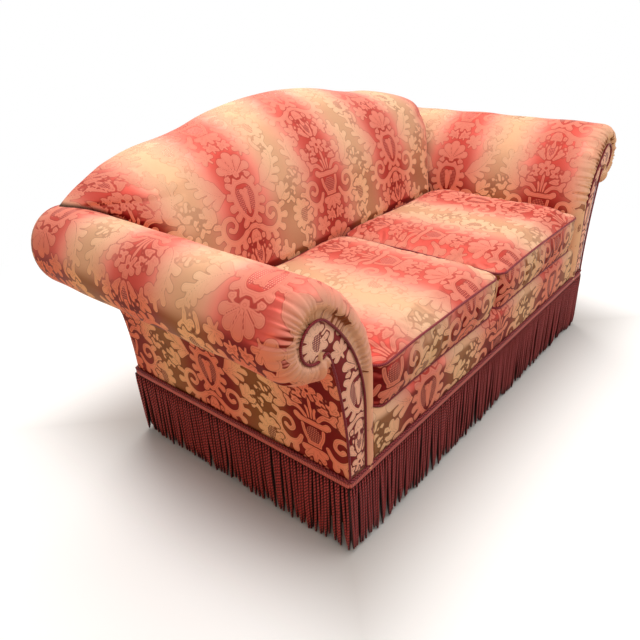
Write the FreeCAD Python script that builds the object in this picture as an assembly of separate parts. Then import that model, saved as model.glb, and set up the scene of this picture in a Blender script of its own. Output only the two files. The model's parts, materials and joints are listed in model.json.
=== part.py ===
import FreeCAD, Part
import math
import os

from FreeCAD import Vector

# Camelback loveseat with rolled arms, two loose seat cushions and a bullion fringe.
# Millimetres. X runs along the seat, Y runs back from the upholstered front, Z runs up
# from the floor. Pieces are drawn with Y = 0 at the upholstered front and are moved at
# the end, so that the origin lies in the middle of the floor space that the piece covers.

# Seat
SEAT_WIDTH = 1226.0          # between the two inside arms
SEAT_HEIGHT = 490.0          # floor to the top welt of the cushions
CUSHION_THICKNESS = 128.0    # boxing height, welt to welt
CUSHION_CROWN = 24.0         # rise of the top panel above its welt
CUSHION_CORNER = 42.0        # plan radius of the cushion corners
CUSHION_REAR_GAP = 6.0       # rear of the cushions to the inside back
WELT_RADIUS = 4.5            # piping on cushions and facings

# Arms
ARM_WIDTH = 109.0            # inside face to outside face at the base
ROLL_RADIUS = 105.0          # scroll of the arm
ROLL_OUT = 201.0             # inside face to the centre of the scroll
ROLL_HEIGHT = 654.0          # floor to the centre of the scroll
ARM_SWEEP = 330.0            # radius of the inside arm between seat and scroll
FLARE_RADIUS = 1230.0        # hollow of the outside arm
ARM_FRONT_ROUND = 38.0       # rounding of the front rim of the arm
FACING_INSET = 49.0          # inside face to the inner welt of the facing
FACING_THICKNESS = 6.0
FACING_CURVE_START = 400.0   # floor to where the inner welt begins to bend
HOOK_RADIUS = 45.0           # welt line round the scroll
HOOK_DROP = 9.0              # centre of the hook below the centre of the scroll
NOTCH_RADIUS = 9.0           # inner bend of the welt under the hook

# Back
BACK_HEIGHT = 938.0          # floor to the top of the hump
HUMP_HALF = 340.0            # middle to where the hump turns hollow
HUMP_FALL = 0.482            # slope there, as a share of the rise over the half width
DIP_HALF = 500.0             # middle to where the hollow turns into the shoulder
DIP_FALL = 0.199             # slope there, as a share of the rise over the half width
WING_PAST_ROLL = 11.0        # wing tip beyond the centre of the scroll
WING_SWEEP = 53.3            # turn of the wing's front away from the inside back, degrees
WING_SETBACK = 51.0          # wing's front behind the inside back, at the inside arm
BODY_DEPTH = 816.0           # upholstered front to upholstered rear at the base
BACK_THICKNESS = 224.0       # inside back to outside back behind the cushions
REAR_RAKE = 11.3             # lean of the outside back, degrees
RAKE_START = 420.0           # floor to where the outside back begins to lean
INSIDE_RAKE = 11.7           # lean of the inside back above the cushions, degrees
INSIDE_RAKE_START = 500.0    # floor to where the inside back begins to lean
BACK_SWEEP = 345.0           # radius of the inside back below its crown
CROWN_DROP = 288.0           # top of the hump down to where that curve begins
CROWN_THICKNESS = 75.0       # depth of the back at the top of the hump
CROWN_FRONT_ROUND = 80.0
CROWN_REAR_ROUND = 24.0

# Base, fringe and feet
RAIL_BOTTOM = 155.0          # floor to the underside of the seat rails
RAIL_THICKNESS = 30.0
FRINGE_FLOOR_GAP = 10.0
FRINGE_LENGTH = 200.0
FRINGE_THICKNESS = 12.0
HEADING_HEIGHT = 15.0
HEADING_THICKNESS = 6.0
HEADING_CORD_RADIUS = 5.5
FOOT_TOP = 70.0
FOOT_BOTTOM = 48.0
GLIDE_RADIUS = 14.0
GLIDE_HEIGHT = 3.0
FOOT_BOLT_RADIUS = 4.0
FOOT_BOLT_REACH = 40.0       # into the foot, and as far into the corner block
CORNER_BLOCK = 100.0
CORNER_BLOCK_HEIGHT = 60.0

# Upholstery and frame
COVER = 3.0                  # fabric with its lining
DECK_STUFFING = 61.7         # seat rails up to the top of the deck
FRONT_PAD = 7.0              # stuffing on the face of the front rail
NOSING_ROUND = 34.0          # front edge under the cushions
NOSING_DEPTH = 60.0
ARM_PAD = 66.0               # inside arm face to the arm frame
ARM_BOARD_WIDTH = 150.0
ARM_BOARD_THICKNESS = 22.0
ARM_RAIL_WIDTH = 25.0
ARM_RAIL_HEIGHT = 40.0
ARM_RAIL_RISE = 10.0         # lower arm rail above the seat deck
STUMP_THICKNESS = 30.0
BACK_FRAME_DEPTH = 45.0
BACK_TOP_RAIL_INSET = 40.0   # stuffing over the top rail
BACK_TOP_RAIL_HEIGHT = 80.0
LOWER_BACK_RAIL_RISE = 72.0  # lower back rail above the seat deck
LOWER_BACK_RAIL_HEIGHT = 50.0
CENTRE_POST_WIDTH = 60.0
BRACE_WIDTH = 40.0
BRACE_DROP = 25.0            # seat brace below the rail tops
DOWEL_RADIUS = 5.0
DOWEL_LENGTH = 50.0
DOWEL_EDGE = 36.0            # dowel to the edge of a seat rail
DUST_COVER = 2.0
DUST_COVER_INSET = 12.0

# Suspension
SPRING_COUNT = 8
SPRING_WIRE = 2.0            # wire radius
SPRING_WIDTH = 44.0          # straight run of each bend
SPRING_BEND = 14.0           # bend radius
SPRING_EDGE = 90.0           # inside arm to the first spring
CLIP_LENGTH = 30.0
CLIP_DEPTH = 14.0
CLIP_HEIGHT = 9.0
WEB_WIDTH = 50.0
WEB_THICKNESS = 2.0
UPRIGHT_WEBS = 6
CROSS_WEBS = 3
WEB_PITCH = 190.0
CROSS_WEB_PITCH = 85.0
CROSS_WEB_RISE = 50.0        # first cross web above the lower back rail

# Zip in the rear boxing of each cushion
ZIP_LENGTH = 420.0
ZIP_TAPE_HEIGHT = 26.0
ZIP_TAPE = 1.0
ZIP_CHAIN_HEIGHT = 4.0
ZIP_CHAIN = 1.6
ZIP_SLIDER_LENGTH = 11.0
ZIP_SLIDER_HEIGHT = 9.0
ZIP_SLIDER_WALL = 1.2

# Clearances
SOFT_CLEARANCE = 0.5         # between soft pieces of different sub-assemblies
FIT_CLEARANCE = 0.3          # between a sliding piece and its guide
SEWN_CLEARANCE = 0.2         # between a welt and the panel that it edges

# Places that follow from the sizes above
ARM_IN = SEAT_WIDTH / 2
ARM_OUT = ARM_IN + ARM_WIDTH
ROLL_X = ARM_IN + ROLL_OUT
ROLL_TOP = ROLL_HEIGHT + ROLL_RADIUS
WING_TIP_Z = ROLL_TOP + COVER
CAMEL_RISE = BACK_HEIGHT - WING_TIP_Z
HUMP_SLOPE = math.degrees(math.atan(HUMP_FALL * CAMEL_RISE / HUMP_HALF))
DIP_SLOPE = math.degrees(math.atan(DIP_FALL * CAMEL_RISE / DIP_HALF))
SIDE_REACH = ROLL_X + 2 * ROLL_RADIUS
DECK_TOP = SEAT_HEIGHT - CUSHION_THICKNESS - FIT_CLEARANCE
DECK_BOTTOM = DECK_TOP - COVER
RAIL_TOP = DECK_TOP - DECK_STUFFING
HEADING_BOTTOM = FRINGE_FLOOR_GAP + FRINGE_LENGTH
CORD_Z = HEADING_BOTTOM + HEADING_HEIGHT + HEADING_CORD_RADIUS
FLARE_START = CORD_Z + HEADING_CORD_RADIUS + SOFT_CLEARANCE
BACK_FRONT = BODY_DEPTH - BACK_THICKNESS
SEAT_DEPTH = BACK_FRONT - CUSHION_REAR_GAP
ARM_FRAME_IN = ARM_IN + ARM_PAD
ARM_FRAME_OUT = ARM_OUT - COVER
SIDE_RAIL_IN = ARM_FRAME_OUT - RAIL_THICKNESS
FRAME_FRONT = COVER
FRONT_RAIL_FACE = COVER + FRONT_PAD
FRONT_RAIL_REAR = FRONT_RAIL_FACE + RAIL_THICKNESS
STUMP_REAR = FRAME_FRONT + STUMP_THICKNESS
BACK_FRAME_FRONT = COVER + BACK_FRAME_DEPTH
WEB_FRONT = BACK_FRAME_FRONT + 2 * WEB_THICKNESS
SPRING_Z = RAIL_TOP + SPRING_WIRE
SAME_PLACE = 0.01
RIGHT = 1
LEFT = -1
SIDES = {"left": LEFT, "right": RIGHT}
REAR_SEAM_INSET = CROWN_REAR_ROUND + COVER


def xz(x, z):
    return Vector(x, 0, z)


def yz(y, z):
    return Vector(0, y, z)


def xy(x, y):
    return Vector(x, y, 0)


def line(start, end):
    return Part.LineSegment(start, end).toShape()


def arc(centre, radius, start, end, place):
    """Arc from angle start to angle end, in degrees, in the plane that place makes."""
    points = []
    for angle in (start, (start + end) / 2, end):
        turn = math.radians(angle)
        points.append(place(centre[0] + radius * math.cos(turn), centre[1] + radius * math.sin(turn)))
    return Part.Arc(*points).toShape()


def heading(centre, point):
    """Angle in degrees at which a point is seen from a centre."""
    return math.degrees(math.atan2(point[1] - centre[1], point[0] - centre[0]))


def circles_meet(first, first_radius, second, second_radius, side):
    """One of the two points where two circles meet; side is 1 or -1."""
    gap_x = second[0] - first[0]
    gap_z = second[1] - first[1]
    gap = math.hypot(gap_x, gap_z)
    along = (gap * gap + first_radius ** 2 - second_radius ** 2) / (2 * gap)
    across = side * math.sqrt(first_radius ** 2 - along ** 2)
    return (first[0] + (along * gap_x - across * gap_z) / gap,
            first[1] + (along * gap_z + across * gap_x) / gap)


def closed(points, place):
    """Edges of a polygon."""
    corners = [place(*point) for point in points]
    return [line(a, b) for a, b in zip(corners, corners[1:] + corners[:1])]


def face(edges):
    return Part.Face(Part.Wire(edges))


def along_y(edges, start, end):
    flat = face(edges)
    flat.translate(Vector(0, start, 0))
    return flat.extrude(Vector(0, end - start, 0))


def along_x(edges, start, end):
    flat = face(edges)
    flat.translate(Vector(start, 0, 0))
    return flat.extrude(Vector(end - start, 0, 0))


def block(x0, x1, y0, y1, z0, z1):
    return Part.makeBox(x1 - x0, y1 - y0, z1 - z0, Vector(x0, y0, z0))


def tube(path, radius, start, direction):
    """Round section carried along a smooth flat path."""
    ring = Part.Wire(Part.makeCircle(radius, start, direction))
    return Part.Wire(path).makePipeShell([ring], True, True)


def mirrored(shape, side):
    """The piece for one side, from the piece drawn on the right."""
    return shape if side == RIGHT else shape.mirror(Vector(0, 0, 0), Vector(1, 0, 0))


def group(shapes):
    return Part.makeCompound(shapes)


# Rear plane of the piece: upright at the base, leaning above the seat

def rear_at(height, offset=0.0):
    """Depth of the outside back at a height, less an offset into the piece."""
    lean = max(0.0, height - RAKE_START) * math.tan(math.radians(REAR_RAKE))
    return BODY_DEPTH + lean - offset


def rear_line(offset, low, high):
    """Points up the outside back, set in by an offset."""
    points = [(rear_at(low, offset), low)]
    if low < RAKE_START < high:
        points.append((rear_at(RAKE_START, offset), RAKE_START))
    points.append((rear_at(high, offset), high))
    return points


def rear_band(outer, inner):
    """Bent slab between two offsets from the outside back, wider than the piece."""
    low = RAIL_BOTTOM
    high = BACK_HEIGHT
    points = rear_line(outer, low, high) + rear_line(inner, low, high)[::-1]
    return along_x(closed(points, yz), -SIDE_REACH, SIDE_REACH)


def behind(offset):
    """All space behind the outside back set in by an offset."""
    low = 0.0
    high = BACK_HEIGHT + ROLL_RADIUS
    far = rear_at(high) + BODY_DEPTH
    points = rear_line(offset, low, high) + [(far, high), (far, low)]
    return along_x(closed(points, yz), -SIDE_REACH, SIDE_REACH)


# Camel outline of the back

def camel_arcs(inset):
    """Hump, hollow and shoulder arcs of the right half: centre, radius, start and end angle."""
    hump = math.radians(HUMP_SLOPE)
    dip = math.radians(DIP_SLOPE)
    hump_radius = HUMP_HALF / math.sin(hump)
    hump_centre = (0.0, BACK_HEIGHT - hump_radius)
    turn = (HUMP_HALF, hump_centre[1] + hump_radius * math.cos(hump))
    dip_radius = (DIP_HALF - HUMP_HALF) / (math.sin(hump) - math.sin(dip))
    dip_centre = (turn[0] + dip_radius * math.sin(hump), turn[1] + dip_radius * math.cos(hump))
    shoulder = (DIP_HALF, dip_centre[1] - dip_radius * math.cos(dip))
    tip = (ROLL_X + WING_PAST_ROLL, WING_TIP_Z)
    chord = math.hypot(tip[0] - shoulder[0], tip[1] - shoulder[1])
    bend = math.atan2(shoulder[1] - tip[1], tip[0] - shoulder[0]) - dip
    wing_radius = chord / (2 * math.sin(bend))
    wing_centre = (shoulder[0] - wing_radius * math.sin(dip), shoulder[1] - wing_radius * math.cos(dip))
    tip_angle = heading(wing_centre, tip)
    return [
        (hump_centre, hump_radius - inset, 90.0, 90.0 - HUMP_SLOPE),
        (dip_centre, dip_radius + inset, 270.0 - HUMP_SLOPE, 270.0 - DIP_SLOPE),
        (wing_centre, wing_radius - inset, 90.0 - DIP_SLOPE, tip_angle),
    ]


def arc_end(centre, radius, angle):
    turn = math.radians(angle)
    return (centre[0] + radius * math.cos(turn), centre[1] + radius * math.sin(turn))


def camel_top(inset):
    """Edges of the camel outline from the left wing tip to the right one."""
    right = [arc(centre, radius, start, end, xz) for centre, radius, start, end in camel_arcs(inset)]
    left = [edge.mirror(Vector(0, 0, 0), Vector(1, 0, 0)) for edge in right[::-1]]
    return left + right


def wing_tip(inset):
    centre, radius, _, end = camel_arcs(inset)[-1]
    return arc_end(centre, radius, end)


def camel_prism(inset, low, start, end):
    """Everything under the camel outline."""
    tip_x, tip_z = wing_tip(inset)
    edges = camel_top(inset)
    edges += [line(xz(tip_x, tip_z), xz(tip_x, low)), line(xz(tip_x, low), xz(-tip_x, low)),
              line(xz(-tip_x, low), xz(-tip_x, tip_z))]
    return along_y(Part.__sortEdges__(edges), start, end)


# Arm section: inside face, sweep, scroll and hollow outside face

SWEEP_Z = ROLL_HEIGHT - math.sqrt((ARM_SWEEP - ROLL_RADIUS) ** 2 - (ROLL_OUT - ARM_SWEEP) ** 2)
SWEEP_CENTRE = (ARM_IN + ARM_SWEEP, SWEEP_Z)
ROLL_CENTRE = (ROLL_X, ROLL_HEIGHT)
FLARE_CENTRE = (ARM_OUT + FLARE_RADIUS, FLARE_START)


def tuck(inset, outside_inset):
    """Where the scroll comes back to the outside arm."""
    return circles_meet(ROLL_CENTRE, ROLL_RADIUS - inset, FLARE_CENTRE, FLARE_RADIUS + outside_inset, LEFT)


def outside_edges(outside_inset, top, low):
    """Outside arm from its top point down to the base."""
    radius = FLARE_RADIUS + outside_inset
    edge_x = ARM_OUT - outside_inset
    return [arc(FLARE_CENTRE, radius, heading(FLARE_CENTRE, top) % 360, 180.0, xz),
            line(xz(edge_x, FLARE_START), xz(edge_x, low))]


def arm_section(inset, outside_inset, low):
    """Closed outline of the right arm, set in from its inside face and scroll."""
    inner = ARM_IN + inset
    blend = heading(SWEEP_CENTRE, ROLL_CENTRE)
    end = tuck(inset, outside_inset)
    edges = [
        line(xz(inner, low), xz(inner, SWEEP_Z)),
        arc(SWEEP_CENTRE, ARM_SWEEP - inset, 180.0, blend, xz),
        arc(ROLL_CENTRE, ROLL_RADIUS - inset, blend, heading(ROLL_CENTRE, end), xz),
    ]
    edges += outside_edges(outside_inset, end, low)
    edges.append(line(xz(ARM_OUT - outside_inset, low), xz(inner, low)))
    return edges


def arm_solid(inset, rim):
    """Right arm with a rounded front rim, set in by an inset and closed by the outside back."""
    section = arm_section(inset, COVER, RAIL_BOTTOM)
    solid = along_y(section, inset, rear_at(ROLL_TOP) + COVER)
    rim_edges = [edge for edge in solid.Edges if any(same_edge(edge, mark, inset) for mark in section[:3])]
    return solid.makeFillet(rim, rim_edges).cut(behind(COVER))


def same_edge(edge, mark, depth):
    """Whether an edge is a section's edge moved back to a depth."""
    return (edge.CenterOfMass - mark.CenterOfMass - Vector(0, depth, 0)).Length < SAME_PLACE


# Facing outline: a crook with its hook round the scroll

HOOK_CENTRE = (ROLL_X, ROLL_HEIGHT - HOOK_DROP)


def crook(inset, low):
    """Edges of the facing from the foot of its inner side, round the hook, to its outer foot."""
    inner = ARM_IN + FACING_INSET
    reach = HOOK_CENTRE[0] - inner
    rise = HOOK_CENTRE[1] - FACING_CURVE_START
    bend = (reach ** 2 + rise ** 2 - HOOK_RADIUS ** 2) / (2 * (reach - HOOK_RADIUS))
    bend_centre = (inner + bend, FACING_CURVE_START)
    blend = heading(bend_centre, HOOK_CENTRE)
    edge_inset = WELT_RADIUS
    edge_radius = FLARE_RADIUS + edge_inset
    notch = circles_meet(HOOK_CENTRE, HOOK_RADIUS + NOTCH_RADIUS, FLARE_CENTRE, edge_radius - NOTCH_RADIUS,
                         LEFT)
    to_notch = heading(HOOK_CENTRE, notch)
    leave = heading(FLARE_CENTRE, notch) % 360
    outer = ARM_OUT - edge_inset - inset
    edges = [
        line(xz(inner + inset, low), xz(inner + inset, FACING_CURVE_START)),
        arc(bend_centre, bend - inset, 180.0, blend, xz),
        arc(HOOK_CENTRE, HOOK_RADIUS - inset, blend, to_notch, xz),
        arc(notch, NOTCH_RADIUS + inset, to_notch + 180.0, leave, xz),
        arc(FLARE_CENTRE, edge_radius + inset, leave, 180.0, xz),
    ]
    if low < FLARE_START:
        edges.append(line(xz(outer, FLARE_START), xz(outer, low)))
    return edges


def crook_panel(inset, low, start, end):
    edges = crook(inset, low)
    outer = ARM_OUT - WELT_RADIUS - inset
    edges.append(line(xz(outer, low), xz(ARM_IN + FACING_INSET + inset, low)))
    return along_y(edges, start, end)


# Inside back profile: upright behind the cushions, leaning, then sweeping over to the crown

def back_section(inset, low):
    """Closed side profile of the back, set in from its inside face."""
    lean = math.radians(INSIDE_RAKE)
    sweep_z = BACK_HEIGHT - CROWN_DROP
    sweep_y = BACK_FRONT + (sweep_z - INSIDE_RAKE_START) * math.tan(lean)
    centre = (sweep_y + BACK_SWEEP * math.cos(lean), sweep_z - BACK_SWEEP * math.sin(lean))
    crown = (rear_at(BACK_HEIGHT) - CROWN_THICKNESS, BACK_HEIGHT)
    reach = math.hypot(crown[0] - centre[0], crown[1] - centre[1])
    leave = heading(centre, crown) + math.degrees(math.acos(BACK_SWEEP / reach))
    radius = BACK_SWEEP - inset
    face_y = BACK_FRONT + inset
    bend = (face_y, INSIDE_RAKE_START - inset * math.tan(lean / 2))
    sweep_start = arc_end(centre, radius, 180.0 - INSIDE_RAKE)
    sweep_end = arc_end(centre, radius, leave)
    high = BACK_HEIGHT + COVER
    climb = (high - sweep_end[1]) / -math.cos(math.radians(leave))
    top = (sweep_end[0] + climb * math.sin(math.radians(leave)), high)
    rear = rear_line(COVER, low, high)[::-1]
    corners = [top] + rear + [(face_y, low), bend, sweep_start]
    edges = [arc(centre, radius, 180.0 - INSIDE_RAKE, leave, yz), line(yz(*sweep_end), yz(*top))]
    edges += [line(yz(*a), yz(*b)) for a, b in zip(corners, corners[1:])]
    return edges


def crown_edges(solid, outline, at_rear):
    """Top edges of the back: those on its outside face, or those on its inside face."""
    found = []
    for edge in solid.Edges:
        ends = [vertex.Point for vertex in edge.Vertexes]
        middle = edge.valueAt((edge.FirstParameter + edge.LastParameter) / 2)
        flat = [Part.Vertex(point.x, 0, point.z) for point in ends + [middle]]
        if any(outline.distToShape(vertex)[0] > SAME_PLACE for vertex in flat):
            continue
        rear = [abs(point.y - rear_at(point.z, COVER)) < SAME_PLACE for point in ends]
        if all(rear) if at_rear else not any(rear):
            found.append(edge)
    return found


def wing_side(inset):
    """Space in front of the right wing, whose front turns back over the arm."""
    turn = math.radians(WING_SWEEP)
    start = (ARM_IN - inset * math.sin(turn), BACK_FRONT + WING_SETBACK + inset * math.cos(turn))
    far = rear_at(BACK_HEIGHT)
    near_x, far_x = [start[0] + (depth - start[1]) / math.tan(turn) for depth in (0.0, far)]
    flat = face(closed([(near_x, 0.0), (SIDE_REACH, 0.0), (SIDE_REACH, far), (far_x, far)], xy))
    return flat.extrude(Vector(0, 0, BACK_HEIGHT + COVER))


def back_solid(inset, low):
    """Back under the camel outline with its crown rounded over, set in by an inset."""
    slab = along_x(back_section(inset, low), -SIDE_REACH, SIDE_REACH)
    solid = slab.common(camel_prism(inset, low, 0.0, rear_at(BACK_HEIGHT)))
    outline = Part.Wire(camel_top(inset))
    solid = solid.makeFillet(CROWN_FRONT_ROUND - inset, crown_edges(solid, outline, False))
    solid = solid.makeFillet(CROWN_REAR_ROUND - inset, crown_edges(solid, outline, True))
    for side in both_arms(wing_side(inset)):
        solid = solid.cut(side)
    return solid


def both_arms(shape):
    return [shape, mirrored(shape, LEFT)]


# Hardwood frame

STUMP_INSET = WELT_RADIUS + SEWN_CLEARANCE
STUMP_IN = ARM_IN + FACING_INSET + STUMP_INSET
REAR_FRAME_Y = BODY_DEPTH - BACK_FRAME_FRONT
REAR_RAIL_MIDDLE = BODY_DEPTH - COVER - BACK_FRAME_DEPTH / 2
SIDE_RAIL_MIDDLE = (SIDE_RAIL_IN + ARM_FRAME_OUT) / 2
BOARD_Z = HOOK_CENTRE[1]
BOARD_OUT = HOOK_CENTRE[0] + HOOK_RADIUS - STUMP_INSET
BOARD_IN = BOARD_OUT - ARM_BOARD_WIDTH
LOWER_BACK_RAIL_Z = DECK_TOP + LOWER_BACK_RAIL_RISE
LOWER_BACK_RAIL_TOP = LOWER_BACK_RAIL_Z + LOWER_BACK_RAIL_HEIGHT
ARM_RAIL_Z = DECK_TOP + ARM_RAIL_RISE


def back_frame_slab():
    """Space that the back frame is sawn from."""
    return rear_band(COVER, BACK_FRAME_FRONT)


def under_camel(inset):
    return camel_prism(inset, RAIL_BOTTOM, 0.0, rear_at(BACK_HEIGHT))


def back_frame_space():
    """Room for the back frame and its webbing, kept free of stuffing."""
    reach = block(-ARM_FRAME_OUT, ARM_FRAME_OUT, 0, rear_at(BACK_HEIGHT), RAIL_BOTTOM, BACK_HEIGHT)
    return rear_band(COVER, WEB_FRONT).common(under_camel(BACK_TOP_RAIL_INSET)).common(reach)


def back_frame_piece(x0, x1, z0, z1):
    return back_frame_slab().common(block(x0, x1, 0, rear_at(BACK_HEIGHT), z0, z1))


def top_rail_middle_z(x):
    """Height of the middle of the top rail at a distance from the middle, on the shoulder."""
    centre, radius, _, _ = camel_arcs(BACK_TOP_RAIL_INSET + BACK_TOP_RAIL_HEIGHT / 2)[-1]
    return centre[1] + math.sqrt(radius ** 2 - (x - centre[0]) ** 2)


def dowel_places():
    """Middle and direction of each dowel on the right-hand side."""
    side_y = Vector(0, 1, 0)
    side_x = Vector(1, 0, 0)
    places = []
    for height in (RAIL_BOTTOM + DOWEL_EDGE, RAIL_TOP - DOWEL_EDGE):
        places += [
            (Vector(STUMP_IN, (FRONT_RAIL_FACE + STUMP_REAR) / 2, height), side_x),
            (Vector(ARM_FRAME_IN, REAR_RAIL_MIDDLE, height), side_x),
            (Vector(SIDE_RAIL_MIDDLE, STUMP_REAR, height), side_y),
            (Vector(SIDE_RAIL_MIDDLE, REAR_FRAME_Y, height), side_y),
        ]
    middle = COVER + BACK_FRAME_DEPTH / 2
    for height in (LOWER_BACK_RAIL_Z + LOWER_BACK_RAIL_HEIGHT / 2, top_rail_middle_z(ARM_FRAME_IN)):
        places.append((Vector(ARM_FRAME_IN, rear_at(height, middle), height), side_x))
    places.append((Vector(HOOK_CENTRE[0], STUMP_REAR, BOARD_Z), side_y))
    return places


def make_dowels():
    dowels = []
    for middle, direction in dowel_places():
        start = middle - direction * (DOWEL_LENGTH / 2)
        dowels += both_arms(Part.makeCylinder(DOWEL_RADIUS, DOWEL_LENGTH, start, direction))
    return group(dowels)


def foot_places():
    """Middle of each foot, with its name."""
    across = SIDE_RAIL_IN - CORNER_BLOCK / 2
    front = FRONT_RAIL_REAR + CORNER_BLOCK / 2
    rear = REAR_FRAME_Y - CORNER_BLOCK / 2
    return {"front_left": (-across, front), "front_right": (across, front),
            "rear_left": (-across, rear), "rear_right": (across, rear)}


def make_frame():
    """Seat rails, arm stumps, arm boards and back frame."""
    half = ARM_FRAME_IN
    pieces = {
        "front_seat_rail": block(-STUMP_IN, STUMP_IN, FRONT_RAIL_FACE, FRONT_RAIL_REAR, RAIL_BOTTOM, RAIL_TOP),
        "rear_seat_rail": back_frame_piece(-half, half, RAIL_BOTTOM, RAIL_TOP),
        "centre_seat_brace": block(-BRACE_WIDTH / 2, BRACE_WIDTH / 2, FRONT_RAIL_REAR, REAR_FRAME_Y,
                                   RAIL_BOTTOM + BRACE_DROP, RAIL_TOP - BRACE_DROP),
        "lower_back_rail": back_frame_piece(-half, half, LOWER_BACK_RAIL_Z, LOWER_BACK_RAIL_TOP),
    }
    under_rail = under_camel(BACK_TOP_RAIL_INSET + BACK_TOP_RAIL_HEIGHT)
    between = back_frame_piece(-half, half, LOWER_BACK_RAIL_TOP, BACK_HEIGHT)
    pieces["back_top_rail"] = between.common(under_camel(BACK_TOP_RAIL_INSET)).cut(under_rail)
    centre = back_frame_piece(-CENTRE_POST_WIDTH / 2, CENTRE_POST_WIDTH / 2, LOWER_BACK_RAIL_TOP, BACK_HEIGHT)
    pieces["centre_back_post"] = centre.common(under_rail)
    post = back_frame_piece(ARM_FRAME_IN, ARM_FRAME_OUT, RAIL_BOTTOM, BACK_HEIGHT)
    right = {
        "seat_rail": block(SIDE_RAIL_IN, ARM_FRAME_OUT, STUMP_REAR, REAR_FRAME_Y, RAIL_BOTTOM, RAIL_TOP),
        "back_post": post.common(under_camel(BACK_TOP_RAIL_INSET)),
        "arm_stump": crook_panel(STUMP_INSET, RAIL_BOTTOM, FRAME_FRONT, STUMP_REAR),
        "arm_top_board": arm_board(),
        "lower_arm_rail": block(ARM_FRAME_IN, ARM_FRAME_IN + ARM_RAIL_WIDTH, STUMP_REAR, REAR_FRAME_Y,
                                ARM_RAIL_Z, ARM_RAIL_Z + ARM_RAIL_HEIGHT),
    }
    for name, side in SIDES.items():
        for piece, shape in right.items():
            pieces[name + "_" + piece] = mirrored(shape, side)
    dowels = make_dowels()
    pieces = {name: shape.cut(dowels) for name, shape in pieces.items()}
    pieces["frame_dowels"] = dowels
    return pieces


def arm_board():
    """Board along the middle of the scroll, from the stump to the back post."""
    board = block(BOARD_IN, BOARD_OUT, STUMP_REAR, rear_at(ROLL_TOP), BOARD_Z - ARM_BOARD_THICKNESS / 2,
                  BOARD_Z + ARM_BOARD_THICKNESS / 2)
    return board.cut(behind(BACK_FRAME_FRONT))


def make_feet():
    """Tapered feet, their glides and bolts, and the corner blocks that they bolt into."""
    pieces = {}
    bolts = []
    glides = []
    blocks = []
    for name, (x, y) in foot_places().items():
        start = Vector(x, y, RAIL_BOTTOM - FOOT_BOLT_REACH)
        bolt = Part.makeCylinder(FOOT_BOLT_RADIUS, 2 * FOOT_BOLT_REACH, start)
        squares = []
        for size, height in ((FOOT_BOTTOM, GLIDE_HEIGHT), (FOOT_TOP, RAIL_BOTTOM)):
            half = size / 2
            corners = [(x - half, y - half), (x + half, y - half), (x + half, y + half), (x - half, y + half)]
            square = Part.Wire(closed(corners, xy))
            square.translate(Vector(0, 0, height))
            squares.append(square)
        pieces[name + "_foot"] = Part.makeLoft(squares, True, True).cut(bolt)
        glides.append(Part.makeCylinder(GLIDE_RADIUS, GLIDE_HEIGHT, Vector(x, y, 0)))
        half = CORNER_BLOCK / 2
        whole = block(x - half, x + half, y - half, y + half, RAIL_BOTTOM, RAIL_BOTTOM + CORNER_BLOCK_HEIGHT)
        blocks.append(whole.cut(bolt))
        bolts.append(bolt)
    pieces["foot_glides"] = group(glides)
    pieces["foot_bolts"] = group(bolts)
    pieces["corner_blocks"] = group(blocks)
    return pieces


# Suspension

def zigzag(x, front, rear):
    """Path of one zigzag spring from the front rail to the rear rail."""
    runs = round((rear - front) / (2 * SPRING_BEND))
    bend = (rear - front) / (2 * runs)
    half = SPRING_WIDTH / 2
    edges = []
    for run in range(runs + 1):
        y = front + 2 * bend * run
        way = 1 if run % 2 == 0 else -1
        edges.append(line(xy(x - way * half, y), xy(x + way * half, y)))
        if run < runs:
            edges.append(arc((x + way * half, y + bend), bend, -90.0, -90.0 + way * 180.0, xy))
    path = Part.Wire(edges)
    path.translate(Vector(0, 0, SPRING_Z))
    return path


def make_springs():
    """Zigzag seat springs and the clips that hold their ends to the rails."""
    front = FRONT_RAIL_FACE + RAIL_THICKNESS / 2
    first = -ARM_IN + SPRING_EDGE
    pitch = (SEAT_WIDTH - 2 * SPRING_EDGE) / (SPRING_COUNT - 1)
    springs = []
    clips = []
    for number in range(SPRING_COUNT):
        x = first + number * pitch
        path = zigzag(x, front, REAR_RAIL_MIDDLE)
        start = Vector(x - SPRING_WIDTH / 2, front, SPRING_Z)
        springs.append(tube(path.Edges, SPRING_WIRE, start, Vector(1, 0, 0)))
        for y in (front, REAR_RAIL_MIDDLE):
            clips.append(spring_clip(x, y))
    return {"seat_springs": group(springs), "spring_clips": group(clips)}


def spring_clip(x, y):
    """Clip nailed to a rail, with a slot for the wire."""
    half = CLIP_LENGTH / 2
    clip = block(x - half, x + half, y - CLIP_DEPTH / 2, y + CLIP_DEPTH / 2, RAIL_TOP, RAIL_TOP + CLIP_HEIGHT)
    slot = block(x - half, x + half, y - SPRING_WIRE, y + SPRING_WIRE, RAIL_TOP, SPRING_Z)
    wire = Part.makeCylinder(SPRING_WIRE, CLIP_LENGTH, Vector(x - half, y, SPRING_Z), Vector(1, 0, 0))
    return clip.cut(slot).cut(wire)


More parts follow.
